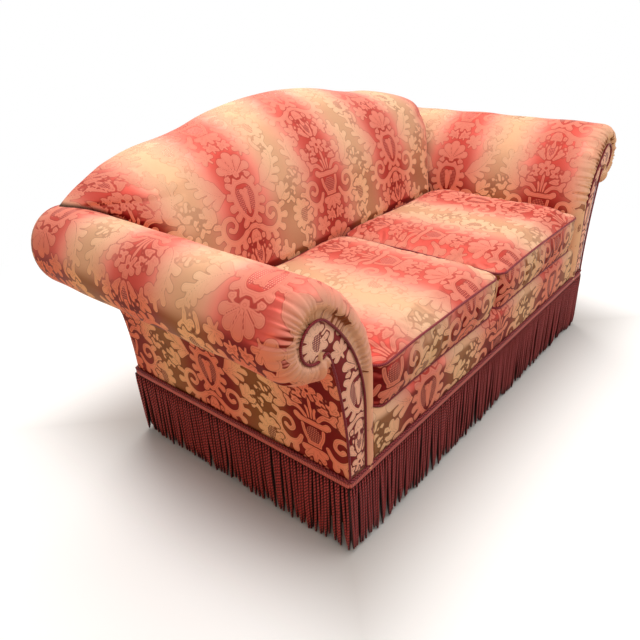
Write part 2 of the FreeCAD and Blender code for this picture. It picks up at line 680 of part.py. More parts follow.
def make_webbing():
    """Upright and cross webs over the back frame."""
    uprights = rear_band(BACK_FRAME_FRONT, BACK_FRAME_FRONT + WEB_THICKNESS)
    crosses = rear_band(BACK_FRAME_FRONT + WEB_THICKNESS, WEB_FRONT)
    far = rear_at(BACK_HEIGHT)
    webs = []
    ends = under_camel(BACK_TOP_RAIL_INSET + BACK_TOP_RAIL_HEIGHT / 2)
    low = LOWER_BACK_RAIL_Z + LOWER_BACK_RAIL_HEIGHT / 2
    web_end = (ARM_FRAME_IN + ARM_FRAME_OUT) / 2
    for number in range(UPRIGHT_WEBS):
        x = (number - (UPRIGHT_WEBS - 1) / 2) * WEB_PITCH
        strip = block(x - WEB_WIDTH / 2, x + WEB_WIDTH / 2, 0, far, low, BACK_HEIGHT)
        webs.append(uprights.common(strip).common(ends))
    for number in range(CROSS_WEBS):
        z = LOWER_BACK_RAIL_TOP + CROSS_WEB_RISE + number * CROSS_WEB_PITCH
        strip = block(-web_end, web_end, 0, far, z - WEB_WIDTH / 2, z + WEB_WIDTH / 2)
        webs.append(crosses.common(strip))
    return {"back_webbing": group([web for shape in webs for web in shape.Solids])}


# Upholstery fixed to the frame

def nosing(inset, rear):
    """Side profile of the padded front edge, set in from its face and top."""
    radius = NOSING_ROUND - inset
    centre = (NOSING_ROUND, DECK_TOP - NOSING_ROUND)
    top = DECK_TOP - inset
    return [
        line(yz(inset, RAIL_BOTTOM), yz(inset, centre[1])),
        arc(centre, radius, 180.0, 90.0, yz),
        line(yz(centre[0], top), yz(rear, top)),
        line(yz(rear, top), yz(rear, RAIL_BOTTOM)),
        line(yz(rear, RAIL_BOTTOM), yz(inset, RAIL_BOTTOM)),
    ]


def make_seat_deck():
    """Padded front edge with its cover, deck pad, deck cover and dust cover."""
    half = ARM_IN - SOFT_CLEARANCE
    whole = along_x(nosing(0.0, NOSING_DEPTH), -half, half)
    stuffed = along_x(nosing(COVER, NOSING_DEPTH), -half, half)
    rail_room = block(-half, half, FRONT_RAIL_FACE, NOSING_DEPTH, RAIL_BOTTOM, RAIL_TOP + CLIP_HEIGHT)
    deck_rear = BODY_DEPTH - WEB_FRONT
    dust = block(-ARM_OUT + DUST_COVER_INSET, ARM_OUT - DUST_COVER_INSET, DUST_COVER_INSET,
                 BODY_DEPTH - DUST_COVER_INSET, RAIL_BOTTOM - DUST_COVER, RAIL_BOTTOM)
    for x, y in foot_places().values():
        half_foot = FOOT_TOP / 2
        dust = dust.cut(block(x - half_foot, x + half_foot, y - half_foot, y + half_foot, 0, RAIL_BOTTOM))
    return {
        "front_edge_padding": stuffed.cut(rail_room),
        "front_border_cover": whole.cut(stuffed),
        "deck_pad": block(-half, half, NOSING_DEPTH, deck_rear, SPRING_Z + SPRING_WIRE, DECK_BOTTOM),
        "deck_cover": block(-half, half, NOSING_DEPTH, deck_rear, DECK_BOTTOM, DECK_TOP),
        "dust_cover": dust,
    }


def make_back():
    """Stuffed back, its inside cover and its outside cover."""
    arms = arm_solid(-SOFT_CLEARANCE, ARM_FRONT_ROUND)
    whole = back_solid(0.0, DECK_TOP)
    stuffed = back_solid(COVER, DECK_TOP - COVER)
    padding = back_solid(COVER, DECK_TOP).cut(back_frame_space())
    cover = whole.cut(stuffed)
    beside_arms = block(ARM_FRAME_OUT, SIDE_REACH, 0.0, rear_at(BACK_HEIGHT), 0.0, ROLL_HEIGHT)
    for room in both_arms(arms) + both_arms(beside_arms):
        padding = padding.cut(room)
        cover = cover.cut(room)
    return {"back_padding": padding, "inside_back_cover": cover, "outside_back_cover": outside_back()}


def outside_back():
    """Rear panel: camel top, scroll ends and flared sides, down to the rails."""
    arcs = camel_arcs(REAR_SEAM_INSET)
    wing_centre, wing_radius, wing_start, _ = arcs[-1]
    meet = circles_meet(ROLL_CENTRE, ROLL_RADIUS, wing_centre, wing_radius, LEFT)
    low_meet = tuck(0.0, 0.0)
    right = [arc(centre, radius, start, end, xz) for centre, radius, start, end in arcs[:-1]]
    right.append(arc(wing_centre, wing_radius, wing_start, heading(wing_centre, meet), xz))
    right.append(arc(ROLL_CENTRE, ROLL_RADIUS, heading(ROLL_CENTRE, meet), heading(ROLL_CENTRE, low_meet), xz))
    right += outside_edges(0.0, low_meet, RAIL_BOTTOM)
    left = [edge.mirror(Vector(0, 0, 0), Vector(1, 0, 0)) for edge in right]
    base = line(xz(-ARM_OUT, RAIL_BOTTOM), xz(ARM_OUT, RAIL_BOTTOM))
    outline = along_y(Part.__sortEdges__(left + right + [base]), 0.0, rear_at(BACK_HEIGHT))
    return rear_band(0.0, COVER).common(outline)


def make_arms():
    """Stuffed arms, their covers, outside panels, facings and welts."""
    whole = arm_solid(0.0, ARM_FRONT_ROUND)
    stuffed = arm_solid(COVER, ARM_FRONT_ROUND - COVER)
    tuck_z = tuck(COVER, COVER)[1]
    hollow = block(ARM_FRAME_IN, ARM_OUT, STUMP_REAR, rear_at(ROLL_TOP), RAIL_BOTTOM, tuck_z)
    padding = stuffed.cut(hollow).cut(back_frame_space()).cut(arm_board())
    padding = padding.cut(crook_panel(STUMP_INSET, RAIL_BOTTOM, FRAME_FRONT, STUMP_REAR))
    rail_room = block(0, ARM_OUT, FRONT_RAIL_FACE, rear_at(ROLL_TOP), RAIL_BOTTOM, RAIL_TOP)
    right = {
        "arm_padding": padding.cut(rail_room),
        "arm_cover": whole.cut(stuffed).cut(back_frame_space()).cut(rail_room),
        "outside_arm_cover": outside_arm(),
        "arm_facing": crook_panel(WELT_RADIUS + SEWN_CLEARANCE, FLARE_START, -FACING_THICKNESS, 0.0),
    }
    pieces = {}
    for name, side in SIDES.items():
        for piece, shape in right.items():
            pieces[name + "_" + piece] = mirrored(shape, side)
    start = Vector(ARM_IN + FACING_INSET, -WELT_RADIUS, FLARE_START)
    path = Part.Wire(crook(0.0, FLARE_START))
    path.translate(Vector(0, -WELT_RADIUS, 0))
    pieces["facing_welts"] = group(both_arms(tube(path.Edges, WELT_RADIUS, start, Vector(0, 0, 1))))
    return pieces


def outside_arm():
    """Thin panel on the outside of the right arm, from the rails up to the scroll."""
    outer_top = tuck(-FIT_CLEARANCE, 0.0)
    inner_top = tuck(-FIT_CLEARANCE, COVER)
    edges = outside_edges(0.0, outer_top, RAIL_BOTTOM) + outside_edges(COVER, inner_top, RAIL_BOTTOM)
    edges.append(line(xz(*outer_top), xz(*inner_top)))
    edges.append(line(xz(ARM_OUT, RAIL_BOTTOM), xz(ARM_OUT - COVER, RAIL_BOTTOM)))
    return along_y(Part.__sortEdges__(edges), 0.0, rear_at(ROLL_TOP)).cut(behind(COVER))


# Fringe round the base

def rounded_loop(x0, x1, y0, y1, radius, height):
    """Closed rectangle with rounded corners at a height, and where a section starts on it."""
    corners = [(x1 - radius, y0 + radius, -90.0), (x1 - radius, y1 - radius, 0.0),
               (x0 + radius, y1 - radius, 90.0), (x0 + radius, y0 + radius, 180.0)]
    sides = [((x0 + radius, y0), (x1 - radius, y0)), ((x1, y0 + radius), (x1, y1 - radius)),
             ((x1 - radius, y1), (x0 + radius, y1)), ((x0, y1 - radius), (x0, y0 + radius))]
    edges = []
    for (start, end), (cx, cy, angle) in zip(sides, corners):
        edges.append(line(xy(*start), xy(*end)))
        edges.append(arc((cx, cy), radius, angle, angle + 90.0, xy))
    for edge in edges:
        edge.translate(Vector(0, 0, height))
    return edges, Vector(x0 + radius, y0, height)


def make_fringe():
    """Bullion fringe on four sides, its woven heading and the twisted cord above it."""
    low = FRINGE_FLOOR_GAP
    out = ARM_OUT + FRINGE_THICKNESS
    side = block(ARM_OUT, out, 0.0, BODY_DEPTH, low, HEADING_BOTTOM)
    band = HEADING_THICKNESS
    top = HEADING_BOTTOM + HEADING_HEIGHT
    ring = block(-ARM_OUT - band, ARM_OUT + band, -band, BODY_DEPTH + band, HEADING_BOTTOM, top)
    cord = HEADING_CORD_RADIUS
    path, start = rounded_loop(-ARM_OUT - cord, ARM_OUT + cord, -cord, BODY_DEPTH + cord, cord, CORD_Z)
    return {
        "front_fringe": block(-out, out, -FRINGE_THICKNESS, 0.0, low, HEADING_BOTTOM),
        "rear_fringe": block(-out, out, BODY_DEPTH, BODY_DEPTH + FRINGE_THICKNESS, low, HEADING_BOTTOM),
        "right_fringe": side,
        "left_fringe": mirrored(side, LEFT),
        "fringe_heading": ring.cut(block(-ARM_OUT, ARM_OUT, 0.0, BODY_DEPTH, HEADING_BOTTOM, top)),
        "twisted_cord": tube(path, cord - SEWN_CLEARANCE, start, Vector(1, 0, 0)),
    }


# Loose seat cushions

CUSHION_BOTTOM = SEAT_HEIGHT - CUSHION_THICKNESS
CUSHION_X0 = SOFT_CLEARANCE + WELT_RADIUS
CUSHION_X1 = ARM_IN - SOFT_CLEARANCE - WELT_RADIUS
CUSHION_Y0 = WELT_RADIUS
CUSHION_Y1 = SEAT_DEPTH - WELT_RADIUS
ZIP_Z = CUSHION_BOTTOM + CUSHION_THICKNESS / 2
ZIP_X0 = (CUSHION_X0 + CUSHION_X1 - ZIP_LENGTH) / 2


def crowned(low, high, start, end, place):
    """Profile with a flat bottom, upright sides and a crowned top."""
    corners = [place(start, high), place(start, low), place(end, low), place(end, high)]
    edges = [line(a, b) for a, b in zip(corners, corners[1:])]
    crown = place((start + end) / 2, high + CUSHION_CROWN)
    edges.append(Part.Arc(corners[3], crown, corners[0]).toShape())
    return edges


def cushion_solid(inset):
    """Right cushion, set in by an inset on every side."""
    low = CUSHION_BOTTOM + inset
    high = SEAT_HEIGHT - inset
    x0, x1 = CUSHION_X0 + inset, CUSHION_X1 - inset
    y0, y1 = CUSHION_Y0 + inset, CUSHION_Y1 - inset
    plan = Part.Face(Part.Wire(rounded_loop(x0, x1, y0, y1, CUSHION_CORNER - inset, low)[0]))
    solid = plan.extrude(Vector(0, 0, CUSHION_THICKNESS + CUSHION_CROWN))
    solid = solid.common(along_y(crowned(low, high, x0, x1, xz), y0, y1))
    return solid.common(along_x(crowned(low, high, y0, y1, yz), x0, x1))


def cushion_welt(height):
    path, start = rounded_loop(CUSHION_X0, CUSHION_X1, CUSHION_Y0, CUSHION_Y1, CUSHION_CORNER, height)
    return tube(path, WELT_RADIUS, start, Vector(1, 0, 0))


def zip_pieces():
    """Zip tape with its chain, and the slider that rides on the chain."""
    x1 = ZIP_X0 + ZIP_LENGTH
    tape_y = CUSHION_Y1 + ZIP_TAPE
    chain_y = tape_y + ZIP_CHAIN
    half = ZIP_CHAIN_HEIGHT / 2
    tape = block(ZIP_X0, x1, CUSHION_Y1, tape_y, ZIP_Z - ZIP_TAPE_HEIGHT / 2, ZIP_Z + ZIP_TAPE_HEIGHT / 2)
    chain = block(ZIP_X0, x1, tape_y, chain_y, ZIP_Z - half, ZIP_Z + half)
    room = half + FIT_CLEARANCE
    slider_x1 = ZIP_X0 + ZIP_SLIDER_LENGTH
    slider = block(ZIP_X0, slider_x1, tape_y + FIT_CLEARANCE, chain_y + FIT_CLEARANCE + ZIP_SLIDER_WALL,
                   ZIP_Z - ZIP_SLIDER_HEIGHT / 2, ZIP_Z + ZIP_SLIDER_HEIGHT / 2)
    groove = block(ZIP_X0, slider_x1, tape_y, chain_y + FIT_CLEARANCE, ZIP_Z - room, ZIP_Z + room)
    return tape.fuse(chain).removeSplitter(), slider.cut(groove)


def make_cushions():
    """Two cushions, each with its filling, cover, welts and zip."""
    core = cushion_solid(COVER)
    top_welt = cushion_welt(SEAT_HEIGHT)
    bottom_welt = cushion_welt(CUSHION_BOTTOM + WELT_RADIUS)
    cover = cushion_solid(0.0).cut(core).cut(top_welt).cut(bottom_welt)
    zip_tape, slider = zip_pieces()
    right = {
        "cushion_filling": core.cut(top_welt).cut(bottom_welt),
        "cushion_cover": cover,
        "cushion_welts": group([top_welt, bottom_welt]),
        "cushion_zip": zip_tape,
        "zip_slider": slider,
    }
    pieces = {}
    for name, side in SIDES.items():
        for piece, shape in right.items():
            pieces[name + "_" + piece] = mirrored(shape, side)
    return pieces


OVERALL_FRONT = -max(FRINGE_THICKNESS, 2 * HEADING_CORD_RADIUS)
OVERALL_REAR = rear_at(BACK_HEIGHT - REAR_SEAM_INSET)
TO_ORIGIN = Vector(0, -(OVERALL_FRONT + OVERALL_REAR) / 2, 0)


def save(pieces):
    """Write each piece to a file of its own, moved to the shared origin."""
    os.makedirs("parts", exist_ok=True)
    for name, shape in pieces.items():
        solids = [solid.translated(TO_ORIGIN) for solid in shape.Solids]
        piece = solids[0] if len(solids) == 1 else group(solids)
        piece.exportStep(os.path.join("parts", name + ".step"))


def main():
    pieces = {}
    for make in (make_frame, make_feet, make_springs, make_webbing, make_seat_deck, make_back, make_arms,
                 make_fringe, make_cushions):
        pieces.update(make())
    save(pieces)


if __name__ == "__main__":
    main()
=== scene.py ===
"""Looks of a two-seat camelback sofa in striped damask with a bullion fringe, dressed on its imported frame.

Shapes are worked out in sofa millimetres: x across from the middle, depth behind the upholstered front, height.
Fabric coordinates are millimetres of cloth, u across the stripes and v along them, kept as the UV map FABRIC.
"""

import json
import logging
import math
from collections.abc import Callable
from dataclasses import dataclass
from enum import Enum

import bpy
import numpy as np
from mathutils import Matrix, Vector
from mathutils.geometry import delaunay_2d_cdt

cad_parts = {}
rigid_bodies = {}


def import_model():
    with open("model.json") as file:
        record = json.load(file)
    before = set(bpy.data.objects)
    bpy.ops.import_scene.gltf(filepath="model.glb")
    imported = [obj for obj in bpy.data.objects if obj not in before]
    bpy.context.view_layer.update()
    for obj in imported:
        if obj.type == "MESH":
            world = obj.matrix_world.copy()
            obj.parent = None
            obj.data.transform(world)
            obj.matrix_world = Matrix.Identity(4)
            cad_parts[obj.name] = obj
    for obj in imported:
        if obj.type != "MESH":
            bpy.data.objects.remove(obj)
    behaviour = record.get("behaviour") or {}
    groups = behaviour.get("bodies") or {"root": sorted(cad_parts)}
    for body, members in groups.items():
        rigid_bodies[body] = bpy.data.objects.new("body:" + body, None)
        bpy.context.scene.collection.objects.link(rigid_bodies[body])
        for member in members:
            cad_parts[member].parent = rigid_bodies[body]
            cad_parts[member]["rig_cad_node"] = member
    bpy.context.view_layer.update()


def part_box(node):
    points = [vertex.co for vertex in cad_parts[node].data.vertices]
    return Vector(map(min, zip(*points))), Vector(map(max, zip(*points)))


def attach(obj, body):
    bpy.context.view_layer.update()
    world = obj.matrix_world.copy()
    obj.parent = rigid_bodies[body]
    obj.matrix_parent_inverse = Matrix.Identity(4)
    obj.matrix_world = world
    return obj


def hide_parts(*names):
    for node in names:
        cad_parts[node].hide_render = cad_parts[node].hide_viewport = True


Array = np.ndarray
Piece = bpy.types.Object
Node = bpy.types.Node
Socket = bpy.types.NodeSocket
Value = Socket | float | tuple  # what a node's input takes

LOG = logging.getLogger("loveseat")
MM = 0.001
UP = np.array([0.0, 0.0, 1.0])
FABRIC = "fabric"
FIGURE = "figure"
POD = "pod"
# mesh attribute for painted crease shade: where it is 1 the damask's colour is darkened as if in shadow
PAINTED_CREASE_SHADE = "tuck"
STRIPE = 370.0


class Side(Enum):
    """The two hands of the sofa, as seen by someone who faces it; the value is the sign of x."""

    LEFT = -1
    RIGHT = 1

    @property
    def word(self) -> str:
        """Name used in the frame's node and body names."""
        return self.name.lower()


class Grain(Enum):
    """How much a wood finish shows its figure."""

    PLAIN = 0.25
    POLISHED = 0.6


@dataclass(frozen=True)
class Stripes:
    """Where the crimson stripe lies on a piece and how far apart the stripes are, both in millimetres."""

    crimson: float
    period: float

    def across(self, place: Array) -> Array:
        """Fabric u of places across the stripes."""
        return (place - self.crimson) * STRIPE / self.period


class Mesher:
    """Makes meshes from grids of sofa millimetres."""

    def __init__(self, front: float) -> None:
        """Take the front's place.

        Args:
            front: the upholstered front on the frame's y axis, in metres.
        """
        self.front = front

    def metres(self, points: Array) -> Array:
        """Sofa millimetres as points of the frame, in metres."""
        return np.asarray(points, float) * MM + (0.0, self.front, 0.0)

    def measure(self, obj: Piece) -> Array:
        """A mesh's vertices as sofa millimetres."""
        return (coordinates(obj) - (0.0, self.front, 0.0)) / MM

    @staticmethod
    def activate(obj: Piece) -> None:
        """Make an object the only one selected.

        Args:
            obj: the object.
        """
        bpy.ops.object.select_all(action="DESELECT")
        obj.select_set(True)
        bpy.context.view_layer.objects.active = obj

    def apply(self, obj: Piece, modifier: bpy.types.Modifier) -> None:
        """Make a modifier's result the mesh."""
        self.activate(obj)
        bpy.ops.object.modifier_apply(modifier=modifier.name)

    def panel(self, name: str, points: Array, fabric: Array) -> Piece:
        """Bend a grid into a panel.

        Args:
            name: the object's name.
            points: rows x columns x 3 sofa millimetres.
            fabric: rows x columns x 2 fabric millimetres.

        Returns:
            The panel, with its fabric coordinates as UV map.
        """
        rows, columns = points.shape[:2]
        bpy.ops.object.select_all(action="DESELECT")
        bpy.ops.mesh.primitive_grid_add(x_subdivisions=columns - 1, y_subdivisions=rows - 1, size=1.0)
        obj = bpy.context.object
        obj.name = obj.data.name = name
        obj.data.vertices.foreach_set("co", self.metres(points).astype(np.float32).ravel())
        self.lay_fabric(obj, fabric.reshape(-1, 2))
        return obj

    @staticmethod
    def lay_fabric(obj: Piece, fabric: Array) -> None:
        """Give every corner the fabric coordinates of its vertex.

        Args:
            obj: the piece.
            fabric: millimetres of cloth, per vertex.
        """
        mesh = obj.data
        layer = mesh.uv_layers[0] if mesh.uv_layers else mesh.uv_layers.new()
        layer.name = FABRIC
        corner = fetch(mesh.loops, "vertex_index", kind=np.int32)
        layer.data.foreach_set("uv", (fabric[corner] * MM).astype(np.float32).ravel())

    def join(self, name: str, *parts: Piece) -> Piece:
        """Sew parts into one object along the edges that they share.

        Args:
            name: the object's name.
            parts: the meshes to sew.

        Returns:
            The one object.
        """
        self.activate(parts[0])
        for part in parts:
            part.select_set(True)
        bpy.ops.object.join()
        whole = bpy.context.object
        whole.name = whole.data.name = name
        return whole

    def close(self, obj: Piece, fill: bool = True) -> Piece:
        """Weld a shell's shared edges, fill its open ends and turn its faces outwards.

        Args:
            obj: the shell.
            fill: whether open ends get a face.

        Returns:
            The same object.
        """
        self.activate(obj)
        bpy.ops.object.mode_set(mode="EDIT")
        bpy.ops.mesh.select_all(action="SELECT")
        bpy.ops.mesh.remove_doubles(threshold=2e-5)
        if fill:
            bpy.ops.mesh.fill_holes(sides=0)
            bpy.ops.mesh.select_all(action="SELECT")
        bpy.ops.mesh.normals_make_consistent(inside=False)
        bpy.ops.object.mode_set(mode="OBJECT")
        bpy.ops.object.shade_smooth()
        return obj

    def shell(self, name: str, points: Array, fabric: Array, fill: bool = True) -> Piece:
        """Bend a grid into a panel and close it."""
        return self.close(self.panel(name, points, fabric), fill)

    def tube(self, name: str, path: Array, radius: float, sides: int, up: tuple, ring: bool) -> Piece:
        """A round cord along a path.

        Args:
            name: the object's name.
            path: points in sofa millimetres.
            radius: of the cord, in millimetres.
            sides: faces round the cord.
            up: a direction that the path never follows.
            ring: whether the path closes on itself.

        Returns:
            The cord, with u round it and v along it as fabric coordinates.
        """
        line = np.vstack([path, path[:1]]) if ring else np.array(path, float)
        ahead = np.roll(line[:-1], -1, 0) - np.roll(line[:-1], 1, 0) if ring else np.gradient(line, axis=0)
        if ring:
            ahead = np.vstack([ahead, ahead[:1]])
        ahead /= np.linalg.norm(ahead, axis=1)[:, None]
        side = np.cross(ahead, np.array(up, float))
        side /= np.linalg.norm(side, axis=1)[:, None]
        top = np.cross(side, ahead)
        turn = np.linspace(0.0, 2 * math.pi, sides + 1)
        around = side[:, None] * np.cos(turn)[None, :, None] + top[:, None] * np.sin(turn)[None, :, None]
        length = run_length(line)
        fabric = np.stack(np.broadcast_arrays(turn[None, :] * radius, length[:, None]), -1)
        return self.shell(name, line[:, None] + radius * around, fabric, fill=not ring)

    def sheet(self, name: str, rim: Array, step: float, depth: Callable, fabric: Callable) -> Piece:
        """Fill a flat outline with even triangles.

        Args:
            name: the object's name.
            rim: outline as x and height, in millimetres.
            step: length of a triangle's side.
            depth: gives the depth of points from x, height and distance to the rim.
            fabric: gives fabric u and v from x and height.

        Returns:
            The open sheet.
        """
        low, high = rim.min(0), rim.max(0)
        across, up = np.meshgrid(np.arange(low[0], high[0], step), np.arange(low[1], high[1], step * 0.866))
        across[1::2] += step / 2
        inner = np.column_stack([across.ravel(), up.ravel()])
        inner = inner[inside(inner, rim)]
        inner = inner[rim_distance(inner, rim) > step * 0.6]
        spots = np.vstack([rim, inner])
        flat, _, faces, *_ = delaunay_2d_cdt([Vector(p) for p in spots], [], [list(range(len(rim)))], 1, 1e-5)
        place = np.array([tuple(p) for p in flat])
        edge = rim_distance(place, rim)
        mesh = bpy.data.meshes.new(name)
        deep = depth(place[:, 0], place[:, 1], edge)
        mesh.from_pydata(self.metres(np.column_stack([place[:, 0], deep, place[:, 1]])), [], faces)
        obj = bpy.data.objects.new(name, mesh)
        bpy.context.scene.collection.objects.link(obj)
        self.lay_fabric(obj, np.column_stack(fabric(place[:, 0], place[:, 1])))
        return obj

    def thicken(self, obj: Piece, thickness: float, front: int) -> Piece:
        """Give an open sheet a thickness behind its face.

        Args:
            obj: the sheet.
            thickness: in millimetres.
            front: sign of y that the face looks along.

        Returns:
            The same object.
        """
        if obj.data.polygons[0].normal.y * front < 0:
            obj.data.flip_normals()
        wall = obj.modifiers.new("wall", "SOLIDIFY")
        wall.thickness = thickness * MM
        wall.offset = -1.0
        self.apply(obj, wall)
        bpy.ops.object.shade_smooth_by_angle(angle=math.radians(60))
        return obj


def inside(spots: Array, rim: Array) -> Array:
    """Which spots lie within a closed outline.

    Args:
        spots: places.
        rim: the outline.

    Returns:
        True for each spot within.
    """
    odd = np.zeros(len(spots), bool)
    for start, end in zip(rim, np.roll(rim, -1, 0)):
        rises = (start[1] > spots[:, 1]) != (end[1] > spots[:, 1])
        drop = end[1] - start[1]
        crossing = start[0] + (spots[:, 1] - start[1]) * (end[0] - start[0]) / (drop if drop else 1.0)
        odd ^= rises & (spots[:, 0] < crossing)
    return odd


def rim_distance(spots: Array, rim: Array) -> Array:
    """Distance from each spot to a closed outline.

    Args:
        spots: places.
        rim: the outline.

    Returns:
        The distances.
    """
    nearest = np.full(len(spots), 1e9)
    for start, end in zip(rim, np.roll(rim, -1, 0)):
        run = end - start
        share = np.clip((spots - start) @ run / max(run @ run, 1e-9), 0.0, 1.0)
        nearest = np.minimum(nearest, np.linalg.norm(spots - start - share[:, None] * run, axis=1))
    return nearest


def run_length(line: Array) -> Array:
    """Length along a line up to each of its points."""
    return np.concatenate([[0.0], np.cumsum(np.linalg.norm(np.diff(line, axis=0), axis=1))])


def arc(centre: tuple, radius: float, start: float, end: float, step: float) -> Array:
    """Points along an arc from one angle to another, in degrees.

    Args:
        centre, radius: the circle.
        start, end: angles.
        step: about how far apart the points lie.

    Returns:
        The points.
    """
    count = max(2, int(abs(math.radians(end - start)) * radius / step) + 1)
    turn = np.radians(np.linspace(start, end, count))
    return np.column_stack([centre[0] + radius * np.cos(turn), centre[1] + radius * np.sin(turn)])


def heading(centre: tuple, point: tuple) -> float:
    """Angle from a centre to a point, in degrees."""
    return math.degrees(math.atan2(point[1] - centre[1], point[0] - centre[0]))


def circles_meet(first: tuple, first_radius: float, second: tuple, second_radius: float) -> tuple:
    """The left one of the two points where circles cross.

    Args:
        first, first_radius: one circle.
        second, second_radius: the other.

    Returns:
        The point.
    """
    span = math.hypot(second[0] - first[0], second[1] - first[1])
    along = (span**2 + first_radius**2 - second_radius**2) / (2 * span)
    off = math.sqrt(first_radius**2 - along**2)
    unit = ((second[0] - first[0]) / span, (second[1] - first[1]) / span)
    foot = (first[0] + along * unit[0], first[1] + along * unit[1])
    return min((foot[0] - off * unit[1], foot[1] + off * unit[0]), (foot[0] + off * unit[1], foot[1] - off * unit[0]))


def smooth_step(value: Array, low: float, high: float) -> Array:
    """Ease from 0 at low to 1 at high."""
    share = np.clip((value - low) / (high - low), 0.0, 1.0)
    return share * share * (3 - 2 * share)


def ripple(seed: int, across: Array, along: Array, length: float, height: float) -> Array:
    """Soft unevenness of stuffing: waves of about one length in several directions.

    Args:
        seed: choice of waves.
        across, along: places.
        length: about that of a wave.
        height: about that of a wave.

    Returns:
        Height at every place.
    """
    random = np.random.default_rng(seed)
    total = np.zeros(np.broadcast(across, along).shape)
    waves = 7
    for _ in range(waves):
        turn, shift = random.uniform(0, 2 * math.pi, 2)
        size = length * random.uniform(0.6, 1.7)
        total = total + np.sin(2 * math.pi * (across * math.cos(turn) + along * math.sin(turn)) / size + shift)
    return total * height / math.sqrt(waves)


class Damask:
    """A traditional damask of cartouches, baskets, scrolls and acanthus, as distance to the figure's edge.

    Half of a column is drawn and mirrored. The figure repeats across two stripes, every second column half a repeat
    higher. A leaf is a list of tapered strokes, each with x, y and half width at both ends.
    """

    REPEAT = 640.0
    STEP = 1.25
    SWELL = 1.2
    PARTING = 2.0
    FAR = 50.0
    REACH = 40.0

    def __init__(self) -> None:
        """Draw the tile."""
        self.leaves: list = []
        self.pods: list = []
        self.veins: list = []
        self.base = 0.0
        self.cartouche()
        self.shell(150.0, 214.0, 70.0)
        self.base = self.REPEAT / 2
        self.basket()
        self.figure, self.pod = self.draw()

    def grow(self, *parts: list) -> None:
        """Add a leaf; one that touches the middle line grows together with its mirror image.

        Args:
            parts: strokes and lobes of one leaf.
        """
        caps = self.lift([cap for part in parts for cap in part])
        joined = min(min(abs(c[0]), abs(c[3])) for c in caps) < 0.5
        self.leaves.append((joined, caps))

    def lift(self, caps: list) -> list:
        """Strokes raised to the motif's height."""
        return [(x0, y0 + self.base, r0, x1, y1 + self.base, r1) for x0, y0, r0, x1, y1, r1 in caps]

    def bunch(self, *lobes: tuple) -> None:
        """Add a leaf that is all lobes."""
        self.grow(*(self.lobe(*lobe) for lobe in lobes))

    @staticmethod
    def lobe(x: float, y: float, angle: float, length: float, root: float, tip: float) -> list:
        """A drop-shaped part of a leaf."""
        turn = math.radians(angle)
        return [(x, y, root, x + length * math.cos(turn), y + length * math.sin(turn), tip)]

    @staticmethod
    def smooth(points: list, radii: list, steps: int = 6) -> list:
        """A rounded line of x, y and half width through points.

        Args:
            points: places on the line.
            radii: half width at each.
            steps: pieces between two.

        Returns:
            The finer points.
        """
        spots = np.array([points[0], *points, points[-1]], float)
        line = []
        for i in range(1, len(spots) - 2):
            for k in range(steps):
                t = k / steps
                weights = (-0.5 * t + t * t - 0.5 * t**3, 1 - 2.5 * t * t + 1.5 * t**3,
                           0.5 * t + 2 * t * t - 1.5 * t**3, -0.5 * t * t + 0.5 * t**3)
                spot = sum(w * spots[i - 1 + j] for j, w in enumerate(weights))
                line.append((spot[0], spot[1], radii[i - 1] * (1 - t) + radii[i] * t))
        line.append((*points[-1], radii[-1]))
        return line

    def stroke(self, points: list, radii: list) -> list:
        """A stem through points, with a half width at each."""
        line = self.smooth(points, radii)
        return [(*a, *b) for a, b in zip(line, line[1:])]

    @staticmethod
    def volute(x: float, y: float, radius: float, start: float, turns: float, thick: float, thin: float) -> list:
        """A curl that winds in from an angle.

        Args:
            x, y, radius: where it winds.
            start, turns: first angle in degrees, and rounds.
            thick, thin: half widths at its ends.

        Returns:
            Its strokes.
        """
        count = max(6, int(abs(turns) * 14))
        share = np.linspace(0.0, 1.0, count + 1)
        angle = np.radians(start + 360 * turns * share)
        reach = radius * (1 - 0.8 * share)
        line = np.column_stack([x + reach * np.cos(angle), y + reach * np.sin(angle), thick + (thin - thick) * share])
        return [(*a, *b) for a, b in zip(line, line[1:])]

    def frond(self, points: list, radii: list, lobes: int, size: float, tip: float, ways: tuple) -> list:
        """An acanthus leaf: a bent spine with a vein, and lobes that shrink towards its end.

        Args:
            points, radii: the spine.
            lobes: how many there are on a side.
            size, tip: length and end's half width of the first lobe.
            ways: sides that have lobes, 1 for the left and -1 for the right.

        Returns:
            Its strokes.
        """
        line = self.smooth(points, radii)
        caps = [(*a, *b) for a, b in zip(line, line[1:])]
        for k in range(lobes):
            share = k / max(1, lobes - 1)
            i = min(len(line) - 2, int((0.1 + 0.86 * share) * (len(line) - 1)))
            x, y, _ = line[i]
            head = heading((x, y), line[i + 1][:2])
            scale = 1 - 0.4 * share
            for way in ways:
                caps += self.lobe(x, y, head + way * 46, size * scale, 7 * scale, tip * scale)
        rib = line[2:-4]
        self.veins += self.lift([(*a[:2], 1.3, *b[:2], 1.0) for a, b in zip(rib, rib[1:])])
        return caps

    def flower(self, x: float, y: float, radius: float) -> None:
        """Five petals round an eye.

        Args:
            x, y: its eye.
            radius: about that of the whole.
        """
        caps = []
        for k in range(5):
            turn = math.radians(90 + 72 * k)
            caps += self.lobe(x + 0.5 * radius * math.cos(turn), y + 0.5 * radius * math.sin(turn), 90 + 72 * k,
                              radius * 0.55, radius * 0.3, radius * 0.52)
        self.grow(caps)
        self.veins += self.lift([(x, y, radius * 0.3, x, y, radius * 0.3)])

    def sprig(self, x: float, y: float, angle: float, size: float) -> None:
        """A small leaf of five lobes on a stalk.

        Args:
            x, y: where the lobes meet the stalk.
            angle: where the leaf points, in degrees.
            size: length of the longest lobe.
        """
        caps = self.lobe(x, y, angle + 180, size * 0.7, size * 0.1, size * 0.07)
        for turn, long in ((0, 1.0), (52, 0.86), (-52, 0.86), (108, 0.7), (-108, 0.7)):
            caps += self.lobe(x, y, angle + turn, size * long, size * 0.12, size * 0.34 * long)
        self.grow(caps)

